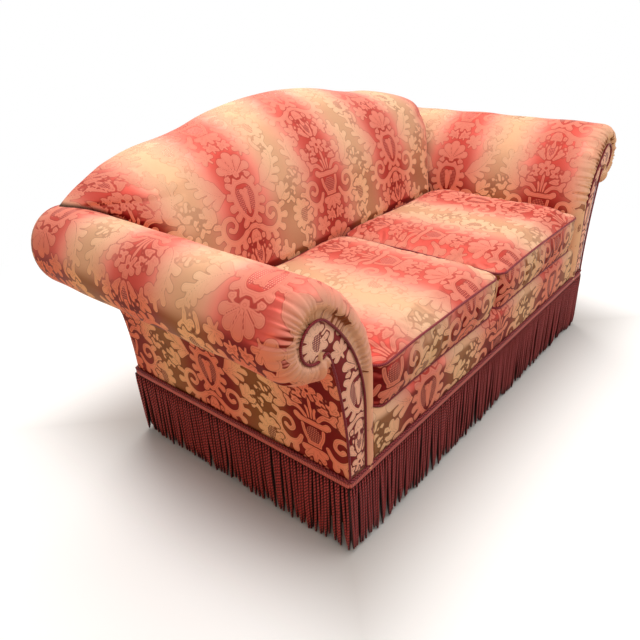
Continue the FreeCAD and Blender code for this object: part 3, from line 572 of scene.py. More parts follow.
    def cartouche(self) -> None:
        """Hatched shield with a scalloped border, a palmette over it and scrolls under it."""
        border = self.stroke([(0, 56), (22, 54), (38, 36), (42, 8), (34, -22), (18, -46),
                              (0, -60)], [5, 6, 7, 7, 7, 6, 5])
        for x, rise, angle in ((18, 58, 84), (38, 44, 48), (47, 18, 16), (46, -10, -8), (38, -34, -34),
                               (20, -56, -62)):
            border += self.lobe(x, rise, angle, 13, 8, 10.5)
        self.grow(border)
        self.pods.append((20, self.base + 2, 14, 38))
        self.bunch((0, -34, 90, 44, 4, 11), (0, 14, 60, 16, 6, 7))
        self.bunch((0, 80, 90, 56, 6, 16), (4, 80, 60, 50, 6, 14), (8, 78, 28, 46, 6, 12), (6, 74, -6, 36, 5, 8))
        self.veins += self.lift([(3, 88, 1.2, 15, 124, 1.6), (8, 86, 1.2, 38, 108, 1.6),
                                 (10, 80, 1.2, 42, 86, 1.4)])
        scroll = self.stroke([(0, -76), (22, -82), (46, -100), (76, -108), (104, -94), (114, -64),
                              (100, -38), (74, -36), (62, -56), (74, -72), (88, -66)],
                             [6, 7.5, 8, 8, 8, 7.5, 6.5, 5.5, 5, 5, 6.5])
        for x, rise, angle in ((46, -106, -84), (74, -114, -66), (104, -104, -36), (120, -78, -6), (120, -50, 28)):
            scroll += self.lobe(x, rise, angle, 18, 6, 10.5)
        self.grow(scroll)
        self.bunch((0, -94, -90, 46, 5, 12), (5, -94, -64, 38, 5, 9.5))
        self.grow(self.frond([(72, 30), (102, 40), (134, 68), (156, 112), (158, 160)],
                             [5, 7, 8, 7, 5], 6, 40, 11, (1, -1)), self.volute(140, 162, 18, 0, 1.1, 6, 5))
        self.grow(self.frond([(132, -34), (152, -16), (182, -4), (206, 20)], [5, 7, 7, 5],
                             5, 32, 10, (-1, 1)))
        self.sprig(66, 150, 60, 30)
        self.sprig(20, 176, 100, 24)

    def basket(self) -> None:
        """Hatched basket with curled handles, flowers and a bud."""
        self.bunch((0, -6, 0, 42, 7, 7), (40, -4, 30, 10, 8, 9))
        self.grow(self.stroke([(33, -20), (29, -44), (18, -66)], [4, 4, 4]),
                  self.lobe(0, -72, 0, 16, 6, 6))
        self.pods.append((0, self.base - 42, 24, 24))
        self.bunch((4, -86, -56, 34, 5, 12), (0, -86, -90, 32, 5, 10), (8, -84, -18, 26, 5, 9))
        handle = self.stroke([(42, -66), (58, -90), (86, -96), (112, -76), (116, -44), (98, -22),
                              (74, -26), (66, -48), (80, -60), (92, -52)],
                             [5, 7, 8, 8, 7.5, 6.5, 5.5, 5, 5, 6.5])
        for x, drop, angle in ((62, 96, -80), (90, 102, -56), (114, 84, -22), (122, 52, 8), (112, 26, 46)):
            handle += self.lobe(x, -drop, angle, 17, 6, 10.5)
        self.grow(handle)
        self.grow(self.stroke([(8, 8), (12, 34), (30, 58)], [3, 3, 3.4]))
        self.grow(self.stroke([(0, 8), (0, 74)], [3.2, 3.4]))
        self.grow(self.stroke([(18, 6), (38, 26), (64, 28), (80, 8)], [4, 5.5, 7.5, 5]),
                  self.lobe(64, 30, 40, 18, 6, 9))
        self.flower(0, 92, 19)
        self.flower(40, 76, 16)
        self.bunch((22, 44, 20, 34, 4, 9), (26, 46, -10, 26, 4, 7))
        self.bunch((60, 52, 60, 34, 4, 11), (60, 52, 20, 28, 4, 9), (60, 52, 100, 26, 4, 8))
        self.grow(self.stroke([(0, 124), (14, 146), (16, 166), (0, 198)], [4, 5, 5, 4]))
        self.pods.append((0, self.base + 160, 11, 28))
        self.bunch((16, 126, 44, 34, 4, 11), (20, 150, 30, 28, 4, 9.5), (14, 184, 56, 26, 4, 9),
                   (17, 138, 80, 50, 3, 3))
        self.grow(self.frond([(76, 10), (108, 30), (132, 70), (134, 112), (112, 138)],
                             [5, 7, 8, 7, 5], 6, 38, 11, (-1, 1)), self.volute(94, 124, 20, 50, 1.1, 6, 5))
        self.grow(self.frond([(128, 2), (154, 16), (182, -2), (192, -40)], [5, 7, 7, 5],
                             5, 32, 10, (1, -1)))
        self.sprig(60, 150, 40, 30)

    def shell(self, x: float, y: float, lean: float) -> None:
        """Hatched eye in a ring of petals, with a curled tail.

        Args:
            x, y: its eye.
            lean: where the longest petal points, in degrees.
        """
        ring = self.stroke([(x - 4, y - 32), (x + 20, y - 16), (x + 22, y + 14), (x + 2, y + 32), (x - 18, y + 16),
                            (x - 20, y - 14), (x - 4, y - 32)], [5] * 7)
        for k in range(9):
            turn = lean + (k - 4) * 34
            ring += self.lobe(x + 22 * math.cos(math.radians(turn)), y + 30 * math.sin(math.radians(turn)), turn,
                              20 - 2 * abs(k - 4), 8, 9.5)
        ring += self.stroke([(x - 10, y - 34), (x - 30, y - 50), (x - 24, y - 78), (x + 2, y - 84)], [7, 7, 6, 4])
        self.grow(ring)
        self.pods.append((x, self.base + y, 17, 26))

    def draw(self) -> tuple:
        """Distances over one tile.

        Returns:
            Two grids, rows along v and columns along u: to the figure and to its hatched parts, negative within.
        """
        across = np.arange(int(round(2 * STRIPE / self.STEP))) * self.STEP
        along = np.arange(int(round(self.REPEAT / self.STEP))) * self.STEP
        first = np.full((len(along), len(across)), self.FAR)
        second, pod, vein, idle = (first.copy() for _ in range(4))
        wide, tall = np.meshgrid(across, along)
        for column in range(-1, 4):
            for wrap in range(-2, 2):
                shift = (column * STRIPE, self.REPEAT * (wrap + (column % 2) / 2))
                for joined, caps in self.leaves:
                    halves = [[(sign, cap) for cap in caps] for sign in (1, -1)]
                    for half in [halves[0] + halves[1]] if joined else halves:
                        self.press(first, second, across, along, half, shift)
                for cap in self.veins:
                    for sign in (1, -1):
                        self.press(vein, idle, across, along, [(sign, cap)], shift)
                for x, y, half_width, half_height in self.pods:
                    for sign in (1, -1):
                        span = np.hypot((wide - shift[0] - sign * x) / half_width,
                                        (tall - shift[1] - y) / half_height)
                        np.minimum(pod, (span - 1) * half_width, out=pod)
        figure = np.maximum(first - self.SWELL, self.PARTING - (second - first) / 2)
        return np.maximum(figure, -vein), pod

    def press(self, first: Array, second: Array, across: Array, along: Array, leaf: list,
              shift: tuple) -> None:
        """Enter one leaf into the distances to the nearest and the second nearest leaf.

        Args:
            first, second: distances so far, changed in place.
            across, along: the grid's places.
            leaf: pairs of a stroke's side, 1 or -1, and the stroke.
            shift: place of the repeat.
        """
        caps = [(shift[0] + s * c[0], shift[1] + c[1], c[2], shift[0] + s * c[3], shift[1] + c[4], c[5])
                for s, c in leaf]
        left, right = np.searchsorted(across, (min(min(c[0], c[3]) for c in caps) - self.REACH,
                                               max(max(c[0], c[3]) for c in caps) + self.REACH))
        low, high = np.searchsorted(along, (min(min(c[1], c[4]) for c in caps) - self.REACH,
                                            max(max(c[1], c[4]) for c in caps) + self.REACH))
        if left >= right or low >= high:
            return
        wide, tall = np.meshgrid(across[left:right], along[low:high])
        near = np.full(wide.shape, self.FAR)
        for x0, y0, r0, x1, y1, r1 in caps:
            dx, dy = x1 - x0, y1 - y0
            share = np.clip(((wide - x0) * dx + (tall - y0) * dy) / max(dx * dx + dy * dy, 1e-9), 0, 1)
            np.minimum(near, np.hypot(wide - x0 - share * dx, tall - y0 - share * dy) - r0 - (r1 - r0) * share,
                       out=near)
        here = (slice(low, high), slice(left, right))
        second[here] = np.minimum(second[here], np.maximum(first[here], near))
        first[here] = np.minimum(first[here], near)

    def sample(self, grid: Array, fabric: Array) -> Array:
        """Read a grid between its points.

        Args:
            grid: distances of a tile.
            fabric: places on the cloth.

        Returns:
            The values.
        """
        rows, columns = grid.shape
        u, v = fabric[:, 0] / self.STEP, fabric[:, 1] / self.STEP
        i, j = np.floor(u).astype(int), np.floor(v).astype(int)
        a, b = u - i, v - j
        i0, i1, j0, j1 = i % columns, (i + 1) % columns, j % rows, (j + 1) % rows
        return ((grid[j0, i0] * (1 - a) + grid[j0, i1] * a) * (1 - b)
                + (grid[j1, i0] * (1 - a) + grid[j1, i1] * a) * b)

    def weave(self, obj: Piece) -> None:
        """Put the figure's and pods' distances on every corner of a piece.

        Args:
            obj: a piece with fabric coordinates.
        """
        mesh = obj.data
        fabric = fetch(mesh.uv_layers[FABRIC].data, "uv", 2).astype(float) / MM
        for name, grid in ((FIGURE, self.figure), (POD, self.pod)):
            attribute = mesh.attributes.new(name, "FLOAT", "CORNER")
            attribute.data.foreach_set("value", self.sample(grid, fabric).astype(np.float32))


class Nodes:
    """Short ways to build node trees."""

    def __init__(self, tree: bpy.types.NodeTree) -> None:
        """Take the tree that gets the nodes."""
        self.tree = tree

    def add(self, kind: str, inputs: dict | None = None, **settings: object) -> Node:
        """A node with settings, and values or links for its inputs by name or number.

        Args:
            kind: node type.
            inputs: see feed.
            settings: the node's properties.

        Returns:
            The node.
        """
        node = self.tree.nodes.new(kind)
        for key, value in settings.items():
            setattr(node, key, value)
        self.feed(node, inputs or {})
        return node

    def feed(self, node: Node, inputs: dict) -> None:
        """Give a node values or links for its inputs.

        Args:
            node: the node.
            inputs: sockets to link or values to set, by the inputs' names or numbers.
        """
        for key, value in inputs.items():
            if isinstance(value, Socket):
                self.tree.links.new(value, node.inputs[key])
            else:
                node.inputs[key].default_value = value

    def math(self, operation: str, first: Value, second: Value = 0.0, third: Value = 0.0) -> Socket:
        """Result of a Math node."""
        return self.add("ShaderNodeMath", {0: first, 1: second, 2: third}, operation=operation).outputs[0]

    def swing(self, phase: Value) -> Socket:
        """A wave between 0 and 1."""
        return self.math("MULTIPLY_ADD", self.math("SINE", phase), 0.5, 0.5)

    def ramp(self, factor: Value, stops: list) -> Socket:
        """Colour of a ramp given as pairs of place and colour.

        Args:
            factor: place on the ramp.
            stops: the pairs.

        Returns:
            The colour.
        """
        node = self.add("ShaderNodeValToRGB", {0: factor})
        elements = node.color_ramp.elements
        while len(elements) < len(stops):
            elements.new(0.5)
        for element, (place, colour) in zip(elements, stops):
            element.position = place
            element.color = colour
        return node.outputs[0]

    def mix(self, factor: Value, first: Value, second: Value) -> Socket:
        """Colour between two colours."""
        return self.add("ShaderNodeMix", {0: factor, 6: first, 7: second}, data_type="RGBA").outputs[2]

    def span(self, value: Value, low: float, high: float) -> Socket:
        """Value eased from 0 at low to 1 at high."""
        return self.add("ShaderNodeMapRange", {0: value, 1: low, 2: high}, interpolation_type="SMOOTHSTEP").outputs[0]

    def noise(self, place: Value, scale: float, detail: float, distortion: float = 0.0) -> Socket:
        """Uneven value between 0 and 1."""
        inputs = {"Vector": place, "Scale": scale, "Detail": detail, "Distortion": distortion}
        return self.add("ShaderNodeTexNoise", inputs).outputs[0]

    def stretch(self, place: Value, scale: tuple) -> Socket:
        """Coordinates scaled along each axis."""
        return self.add("ShaderNodeMapping", {"Vector": place, "Scale": scale}).outputs[0]

    def split(self, vector: Value) -> bpy.types.NodeOutputs:
        """The three parts of a vector."""
        return self.add("ShaderNodeSeparateXYZ", {0: vector}).outputs

    def read(self, attribute: str) -> Socket:
        """A value that is kept on the mesh."""
        return self.add("ShaderNodeAttribute", attribute_name=attribute).outputs["Fac"]

    def fabric(self) -> Socket:
        """Fabric coordinates, in metres of cloth."""
        return self.add("ShaderNodeUVMap", uv_map=FABRIC).outputs[0]

    def place(self) -> Socket:
        """Object coordinates."""
        return self.add("ShaderNodeTexCoord").outputs["Object"]

    def sight(self) -> tuple:
        """Which rays carry a picture.

        Returns:
            1 for camera rays, and 1 for camera, transmission and glossy rays.
        """
        path = self.add("ShaderNodeLightPath").outputs
        eye = path["Is Camera Ray"]
        seen = self.math("MAXIMUM", eye, path["Is Transmission Ray"])
        return eye, self.math("MAXIMUM", seen, path["Is Glossy Ray"])


def srgb(*parts: float) -> tuple:
    """Red, green and blue written as 0 to 255, as a shader colour."""
    shares = [part / 255 for part in parts]
    return (*(s / 12.92 if s <= 0.04045 else ((s + 0.055) / 1.055) ** 2.4 for s in shares), 1.0)


class Finish:
    """A surface finish; a child class draws it."""

    name = "finish"

    def material(self) -> bpy.types.Material:
        """The finish as a material, made once.

        Returns:
            The material.
        """
        title = f"{self.name} finish"
        found = bpy.data.materials.get(title)
        if found:
            return found
        made = bpy.data.materials.new(title)
        made.use_nodes = True
        nodes = Nodes(made.node_tree)
        self.draw(nodes, made.node_tree.nodes["Principled BSDF"])
        return made

    def draw(self, nodes: Nodes, surface: Node) -> None:
        """Link the finish to its surface node."""
        raise NotImplementedError

    def dress(self, obj: Piece) -> None:
        """Put the finish on every face of an object."""
        obj.data.materials.clear()
        obj.data.materials.append(self.material())

    @staticmethod
    def bump(nodes: Nodes, surface: Node, height: Socket, distance: float, strength: float = 1.0) -> None:
        """Raise a surface by a height of so many metres."""
        made = nodes.add("ShaderNodeBump", {"Height": height, "Distance": distance, "Strength": strength})
        nodes.feed(surface, {"Normal": made.outputs[0]})


@dataclass(frozen=True)
class SatinDamask(Finish):
    """Striped damask: a satin ground that runs from crimson to gold, and a matt figure, with painted light: faces that
    look up get lit colours, upright faces a painted shaded ground and a lighter figure.
    """

    name: str = "damask"
    # The ground and figure ramps are the lit copies, used on faces that look up.
    ground: tuple = ((0.0, srgb(186, 66, 56)), (0.2, srgb(202, 88, 76)), (0.45, srgb(222, 128, 110)),
                     (0.7, srgb(216, 150, 122)), (1.0, srgb(206, 156, 120)))
    figure: tuple = ((0.0, srgb(220, 124, 104)), (0.3, srgb(222, 138, 116)), (0.6, srgb(228, 162, 134)),
                     (1.0, srgb(230, 182, 144)))
    pod: tuple = srgb(120, 52, 54)
    # painted shade: the ground's colours on upright faces, darker and deeper than the lit copy
    shade: tuple = ((0.0, srgb(112, 4, 10)), (0.4, srgb(130, 30, 22)), (0.7, srgb(140, 68, 36)),
                    (1.0, srgb(142, 86, 46)))
    satin: float = 0.35
    sheen: float = 0.14
    # painted light: on upright faces the figure is made this much lighter and warmer
    gilt: tuple = (1.14, 1.1, 0.94, 1.0)
    hatch: float = 0.0056
    vein: float = 0.32
    vein_inset: float = 3.6
    outline: float = 0.25
    outline_colour: tuple = (0.06, 0.008, 0.006, 1.0)
    # how much the painted crease shade darkens the colour
    tuck_shadow: float = 0.9

    def pattern(self) -> bpy.types.NodeTree:
        """Node group with the cloth's colour, roughness, relief and metallic share; the colour carries painted light
        and shade by facing.

        Returns:
            The group.
        """
        found = bpy.data.node_groups.get(self.name + " pattern")
        if found:
            return found
        tree = bpy.data.node_groups.new(self.name + " pattern", "ShaderNodeTree")
        for name in ("Color", "Roughness", "Height", "Metallic"):
            kind = "NodeSocketColor" if name == "Color" else "NodeSocketFloat"
            tree.interface.new_socket(name, in_out="OUTPUT", socket_type=kind)
        n = Nodes(tree)
        fabric = n.fabric()
        u, v, _ = n.split(fabric)
        drift = n.math("MULTIPLY_ADD", n.noise(fabric, 7.0, 2.0), 0.03, u)
        wave = n.math("COSINE", n.math("MULTIPLY", drift, 2 * math.pi / (STRIPE * MM)))
        gold = n.math("MULTIPLY_ADD", wave, -0.5, 0.5)
        # painted light by facing: faces that look up get the lit ground and figure, upright faces the painted shaded
        # ground and the lifted figure
        upright = n.split(n.add("ShaderNodeNewGeometry").outputs["Normal"])[2]
        painted_top_light = n.span(upright, -0.1, 0.4)
        ground = n.mix(painted_top_light, n.ramp(gold, list(self.shade)), n.ramp(gold, list(self.ground)))
        painted_side_figure = [(at, tuple(part * lift for part, lift in zip(colour, self.gilt))) for at, colour in self.figure]
        raised = n.mix(painted_top_light, n.ramp(gold, painted_side_figure), n.ramp(gold, list(self.figure)))
        mark = n.read(FIGURE)
        vein = n.span(n.math("ABSOLUTE", n.math("ADD", mark, self.vein_inset)), 0.8, 0.3)
        raised = n.mix(n.math("MULTIPLY", vein, self.vein), raised, ground)
        figure = n.span(mark, 0.7, -0.7)
        pod = n.span(n.read(POD), 0.7, -0.7)
        lines = n.span(n.math("SINE", n.math("MULTIPLY", u, 2 * math.pi / self.hatch)), -0.4, 0.4)
        rungs = n.span(n.math("SINE", n.math("MULTIPLY", v, 2 * math.pi / self.hatch)), -0.7, 0.1)
        hollow = n.mix(n.math("MULTIPLY", lines, rungs), n.mix(0.5, ground, self.pod), raised)
        thread = n.noise(n.stretch(fabric, (700, 2600, 1)), 1.0, 1.0)
        edge = n.math("MULTIPLY", n.span(mark, 3.6, 0.6), self.outline)
        plain = n.mix(pod, n.mix(edge, ground, self.outline_colour), hollow)
        cloth = n.mix(figure, plain, raised)
        # painted crease shade: colour darkened where the mesh marks the tuck beside an arm
        tuck = n.math("MULTIPLY_ADD", n.read(PAINTED_CREASE_SHADE), -self.tuck_shadow, 1.0)
        scaled = self.scale(n, cloth, n.math("MULTIPLY", n.math("MULTIPLY_ADD", thread, 0.16, 0.92), tuck))
        rough = n.math("MULTIPLY_ADD", figure, 0.34, 0.46)
        relief = n.math("MULTIPLY_ADD", thread, 0.25, figure)
        satin = n.math("MULTIPLY_ADD", figure, -self.satin, self.satin)
        n.add("NodeGroupOutput", {0: scaled, 1: rough, 2: relief, 3: satin})
        return tree

    @staticmethod
    def scale(nodes: Nodes, colour: Socket, by: Socket) -> Socket:
        """A colour made darker or lighter."""
        return nodes.add("ShaderNodeVectorMath", {0: colour, "Scale": by}, operation="SCALE").outputs[0]

    def draw(self, nodes: Nodes, surface: Node) -> None:
        """Satin with a soft sheen.

        Args:
            nodes: builder of the tree.
            surface: the Principled node.
        """
        cloth = nodes.add("ShaderNodeGroup", node_tree=self.pattern())
        nodes.feed(surface, {
            "Base Color": cloth.outputs["Color"], "Roughness": cloth.outputs["Roughness"],
            "Metallic": cloth.outputs["Metallic"], "Specular IOR Level": 0.08, "Specular Tint": srgb(255, 226, 196),
            "Sheen Weight": self.sheen, "Sheen Roughness": 0.35, "Sheen Tint": srgb(255, 236, 224)})
        self.bump(nodes, surface, cloth.outputs["Height"], 0.0004, 0.6)


@dataclass(frozen=True)
class TwistedYarn(Finish):
    """Rayon yarn laid in a twist, drawn along the cord's own length."""

    name: str = "yarn"
    dark: tuple = srgb(92, 22, 30)
    light: tuple = srgb(158, 74, 78)
    pitch: float = 0.016
    around: float = 0.0377
    plies: int = 2
    relief: float = 0.0018
    # painted shade: how far the colour darkens towards the gaps between neighbouring cords
    hollow: float = 0.0

    def draw(self, nodes: Nodes, surface: Node) -> None:
        """Slanting plies with fine threads on them, with painted groove shade and highlight on the plies, and painted
        shade towards the gaps between cords.

        Args:
            nodes: builder of the tree.
            surface: the Principled node.
        """
        round_it, along, _ = nodes.split(nodes.fabric())
        turn = nodes.math("MULTIPLY", round_it, 2 * math.pi / self.around)
        run = nodes.math("MULTIPLY_ADD", along, 2 * math.pi / self.pitch, nodes.math("MULTIPLY", turn, self.plies))
        thread = nodes.swing(nodes.math("MULTIPLY", run, 6.0))
        # painted shade and highlight: the tone is darkest in the grooves between plies and lightest on their crests,
        # over the relief that the bump gives
        tone = nodes.math("MULTIPLY_ADD", thread, 0.22, nodes.math("MULTIPLY", nodes.swing(run), 0.78))
        middle = blend(self.dark, self.light, 0.55)
        colour = nodes.ramp(tone, [(0.12, self.dark), (0.55, middle), (0.95, self.light)])
        # painted shade between ropes: the colour fades to near black away from the side that faces out
        gap = nodes.math("MULTIPLY", nodes.span(nodes.math("COSINE", turn), 0.98, 0.52), self.hollow)
        nodes.feed(surface, {"Base Color": nodes.mix(gap, colour, (0.004, 0.0006, 0.0008, 1.0)), "Roughness": 0.34,
                             "Specular IOR Level": 0.25, "Specular Tint": srgb(255, 178, 160)})
        self.bump(nodes, surface, tone, self.relief)


def blend(first: tuple, second: tuple, share: float) -> tuple:
    """A colour between two colours."""
    return tuple(a + (b - a) * share for a, b in zip(first, second))


@dataclass(frozen=True)
class RibbedGimp(Finish):
    """Flat gimp with cross ribs."""

    name: str = "gimp"
    dark: tuple = srgb(156, 54, 48)
    light: tuple = srgb(214, 108, 90)
    rib: float = 0.005

    def draw(self, nodes: Nodes, surface: Node) -> None:
        """Ribs across the band.

        Args:
            nodes: builder of the tree.
            surface: the Principled node.
        """
        rib = nodes.swing(nodes.math("MULTIPLY", nodes.split(nodes.fabric())[1], 2 * math.pi / self.rib))
        nodes.feed(surface, {"Base Color": nodes.ramp(rib, [(0.0, self.dark), (1.0, self.light)]), "Roughness": 0.55})
        self.bump(nodes, surface, rib, 0.0009)


@dataclass(frozen=True)
class WovenCloth(Finish):
    """Plain weave of one colour."""

    name: str = "cloth"
    colour: tuple = srgb(90, 40, 40)
    thread: float = 0.0012
    roughness: float = 0.85

    def draw(self, nodes: Nodes, surface: Node) -> None:
        """Checkered threads with a little unevenness.

        Args:
            nodes: builder of the tree.
            surface: the Principled node.
        """
        place = nodes.place()
        check = nodes.add("ShaderNodeTexChecker", {"Vector": place, "Scale": 1 / self.thread}).outputs["Fac"]
        tone = nodes.math("MULTIPLY_ADD", check, 0.3, nodes.math("MULTIPLY", nodes.noise(place, 60.0, 3.0), 0.7))
        dark = blend(self.colour, (0.0, 0.0, 0.0, 1.0), 0.35)
        colour = nodes.ramp(tone, [(0.2, dark), (0.8, self.colour)])
        nodes.feed(surface, {"Base Color": colour, "Roughness": self.roughness})
        self.bump(nodes, surface, tone, 0.0003)


@dataclass(frozen=True)
class Wood(Finish):
    """Timber with long grain."""

    name: str = "wood"
    dark: tuple = srgb(96, 58, 32)
    light: tuple = srgb(166, 116, 72)
    grain: Grain = Grain.PLAIN
    roughness: float = 0.6

    def draw(self, nodes: Nodes, surface: Node) -> None:
        """Stretched noise as growth rings.

        Args:
            nodes: builder of the tree.
            surface: the Principled node.
        """
        ring = nodes.noise(nodes.stretch(nodes.place(), (40.0, 40.0, 4.0)), 1.0, 6.0, 0.8)
        rough = nodes.math("MULTIPLY_ADD", ring, 0.2 * self.grain.value, self.roughness)
        colour = nodes.ramp(ring, [(0.3, self.dark), (0.7, self.light)])
        nodes.feed(surface, {"Base Color": colour, "Roughness": rough})
        self.bump(nodes, surface, ring, 0.0003)


@dataclass(frozen=True)
class Metal(Finish):
    """Bare or plated metal."""

    name: str = "metal"
    colour: tuple = srgb(120, 118, 114)
    roughness: float = 0.38

    def draw(self, nodes: Nodes, surface: Node) -> None:
        """Metal with a slightly uneven polish.

        Args:
            nodes: builder of the tree.
            surface: the Principled node.
        """
        noise = nodes.noise(nodes.place(), 90.0, 3.0)
        dark = blend(self.colour, (0.0, 0.0, 0.0, 1.0), 0.3)
        rough = nodes.math("MULTIPLY_ADD", noise, 0.2, self.roughness - 0.1)
        colour = nodes.ramp(noise, [(0.3, dark), (0.7, self.colour)])
        nodes.feed(surface, {"Base Color": colour, "Roughness": rough, "Metallic": 1.0})


@dataclass(frozen=True)
class Floor(Finish):
    """Plain pale floor that keeps a shadow."""

    name: str = "floor"

    def draw(self, nodes: Nodes, surface: Node) -> None:
        """Matt near-white that lights up to white for the eye, and altogether away from the sofa.

        Args:
            nodes: builder of the tree.
            surface: the Principled node.
        """
        nodes.feed(surface, {"Base Color": srgb(205, 200, 194), "Roughness": 0.9})
        eye, seen = nodes.sight()
        place = nodes.place()
        away = nodes.add("ShaderNodeVectorMath", {0: place}, operation="LENGTH").outputs["Value"]
        fade = nodes.math("MULTIPLY", seen, nodes.span(away, 0.9, 2.2))
        white = nodes.add("ShaderNodeEmission").outputs[0]
        across, along, _ = nodes.split(nodes.add("ShaderNodeVectorMath", {0: place}, operation="ABSOLUTE").outputs[0])
        beside = nodes.math("SUBTRACT", across, 0.74)
        before = nodes.math("SUBTRACT", along, 0.46)
        clear = nodes.span(nodes.math("MAXIMUM", beside, before), -0.06, 0.35)
        lift = nodes.math("MULTIPLY", nodes.math("MULTIPLY", eye, clear), 0.5)
        lifted = nodes.add("ShaderNodeEmission", {"Strength": lift}).outputs[0]
        near = nodes.add("ShaderNodeAddShader", {0: surface.outputs[0], 1: lifted}).outputs[0]
        whole = nodes.add("ShaderNodeMixShader", {0: fade, 1: near, 2: white}).outputs[0]
        nodes.feed(nodes.tree.nodes["Material Output"], {"Surface": whole})


@dataclass(frozen=True)
class Palette:
    """Every finish of the sofa."""

    damask: SatinDamask = SatinDamask()
    # as on the damask, the facing's second ramp is painted shade for upright faces and its last scale painted light on
    # the figure there
    facing: SatinDamask = SatinDamask(
        "facing_damask",
        ground=((0.0, srgb(136, 24, 36)), (0.5, srgb(140, 30, 38)), (1.0, srgb(150, 60, 52))),
        shade=((0.0, srgb(122, 16, 26)), (1.0, srgb(134, 40, 38))),
        figure=((0.0, srgb(228, 166, 136)), (0.5, srgb(230, 170, 140)), (1.0, srgb(232, 176, 146))),
        pod=srgb(110, 40, 60), satin=0.2, sheen=0.2, gilt=(1.3, 1.3, 1.3, 1.0))
    welt: TwistedYarn = TwistedYarn("welt", srgb(104, 26, 36), srgb(150, 56, 62), 0.004, 0.0283, 1, 0.0004)
    # the bullion's last value paints shade between the ropes
    fringe: TwistedYarn = TwistedYarn("bullion", srgb(64, 4, 10), srgb(208, 82, 80), 0.010, 0.0377, 3, 0.0016, 0.98)
    cord: TwistedYarn = TwistedYarn("twisted_cord", srgb(78, 16, 26), srgb(158, 74, 76), 0.006, 0.02, 1, 0.0004)
    gimp: RibbedGimp = RibbedGimp()
    deck: WovenCloth = WovenCloth("deck_cloth", srgb(138, 62, 50))
    dust: WovenCloth = WovenCloth("dust_cloth", srgb(40, 38, 38))
    webbing: WovenCloth = WovenCloth("webbing", srgb(156, 128, 88), 0.002)
    zip_tape: WovenCloth = WovenCloth("zip_tape", srgb(120, 46, 44), 0.0008)
    hardwood: Wood = Wood("hardwood", roughness=0.7)
    foot: Wood = Wood("foot_wood", srgb(46, 22, 14), srgb(92, 50, 30), Grain.POLISHED, 0.3)
    glide: Metal = Metal("glide", srgb(150, 148, 144), 0.3)
    spring: Metal = Metal("spring_steel", srgb(96, 98, 104), 0.35)
    zip_metal: Metal = Metal("zip_metal", srgb(176, 150, 96), 0.3)


class Upholsterer:
    """What every sub-assembly needs: the mesher, the cloth and the finishes."""

    def __init__(self, mesher: Mesher, cloth: Damask, palette: Palette) -> None:
        """Take the tools.

        Args:
            mesher: makes meshes.
            cloth: the damask.
            palette: the finishes.
        """
        self.mesher = mesher
        self.cloth = cloth
        self.palette = palette

    def finish(self, obj: Piece, finish: Finish, slot: str, nodes: tuple = (), body: str = "frame") -> None:
        """Dress a finished piece and tie it to the frame.

        Args:
            obj: the piece.
            finish: what it is covered with.
            slot: the record's material slot; not used.
            nodes: the frame's nodes that it stands for.
            body: the body that it rides on.
        """
        if isinstance(finish, SatinDamask):
            self.cloth.weave(obj)
        finish.dress(obj)
        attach(obj, body)
        if nodes:
            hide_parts(*nodes)
        LOG.info("%s: %d faces", obj.name, len(obj.data.polygons))


@dataclass(frozen=True)
class RearPlane:
    """The outside back: upright, then raked from a height."""

    depth: float = 816.0
    rake_start: float = 420.0
    rake: float = 11.3

    def at(self, height: Array) -> Array:
        """Depth of the outside back at a height."""
        return self.depth + np.maximum(0.0, height - self.rake_start) * math.tan(math.radians(self.rake))


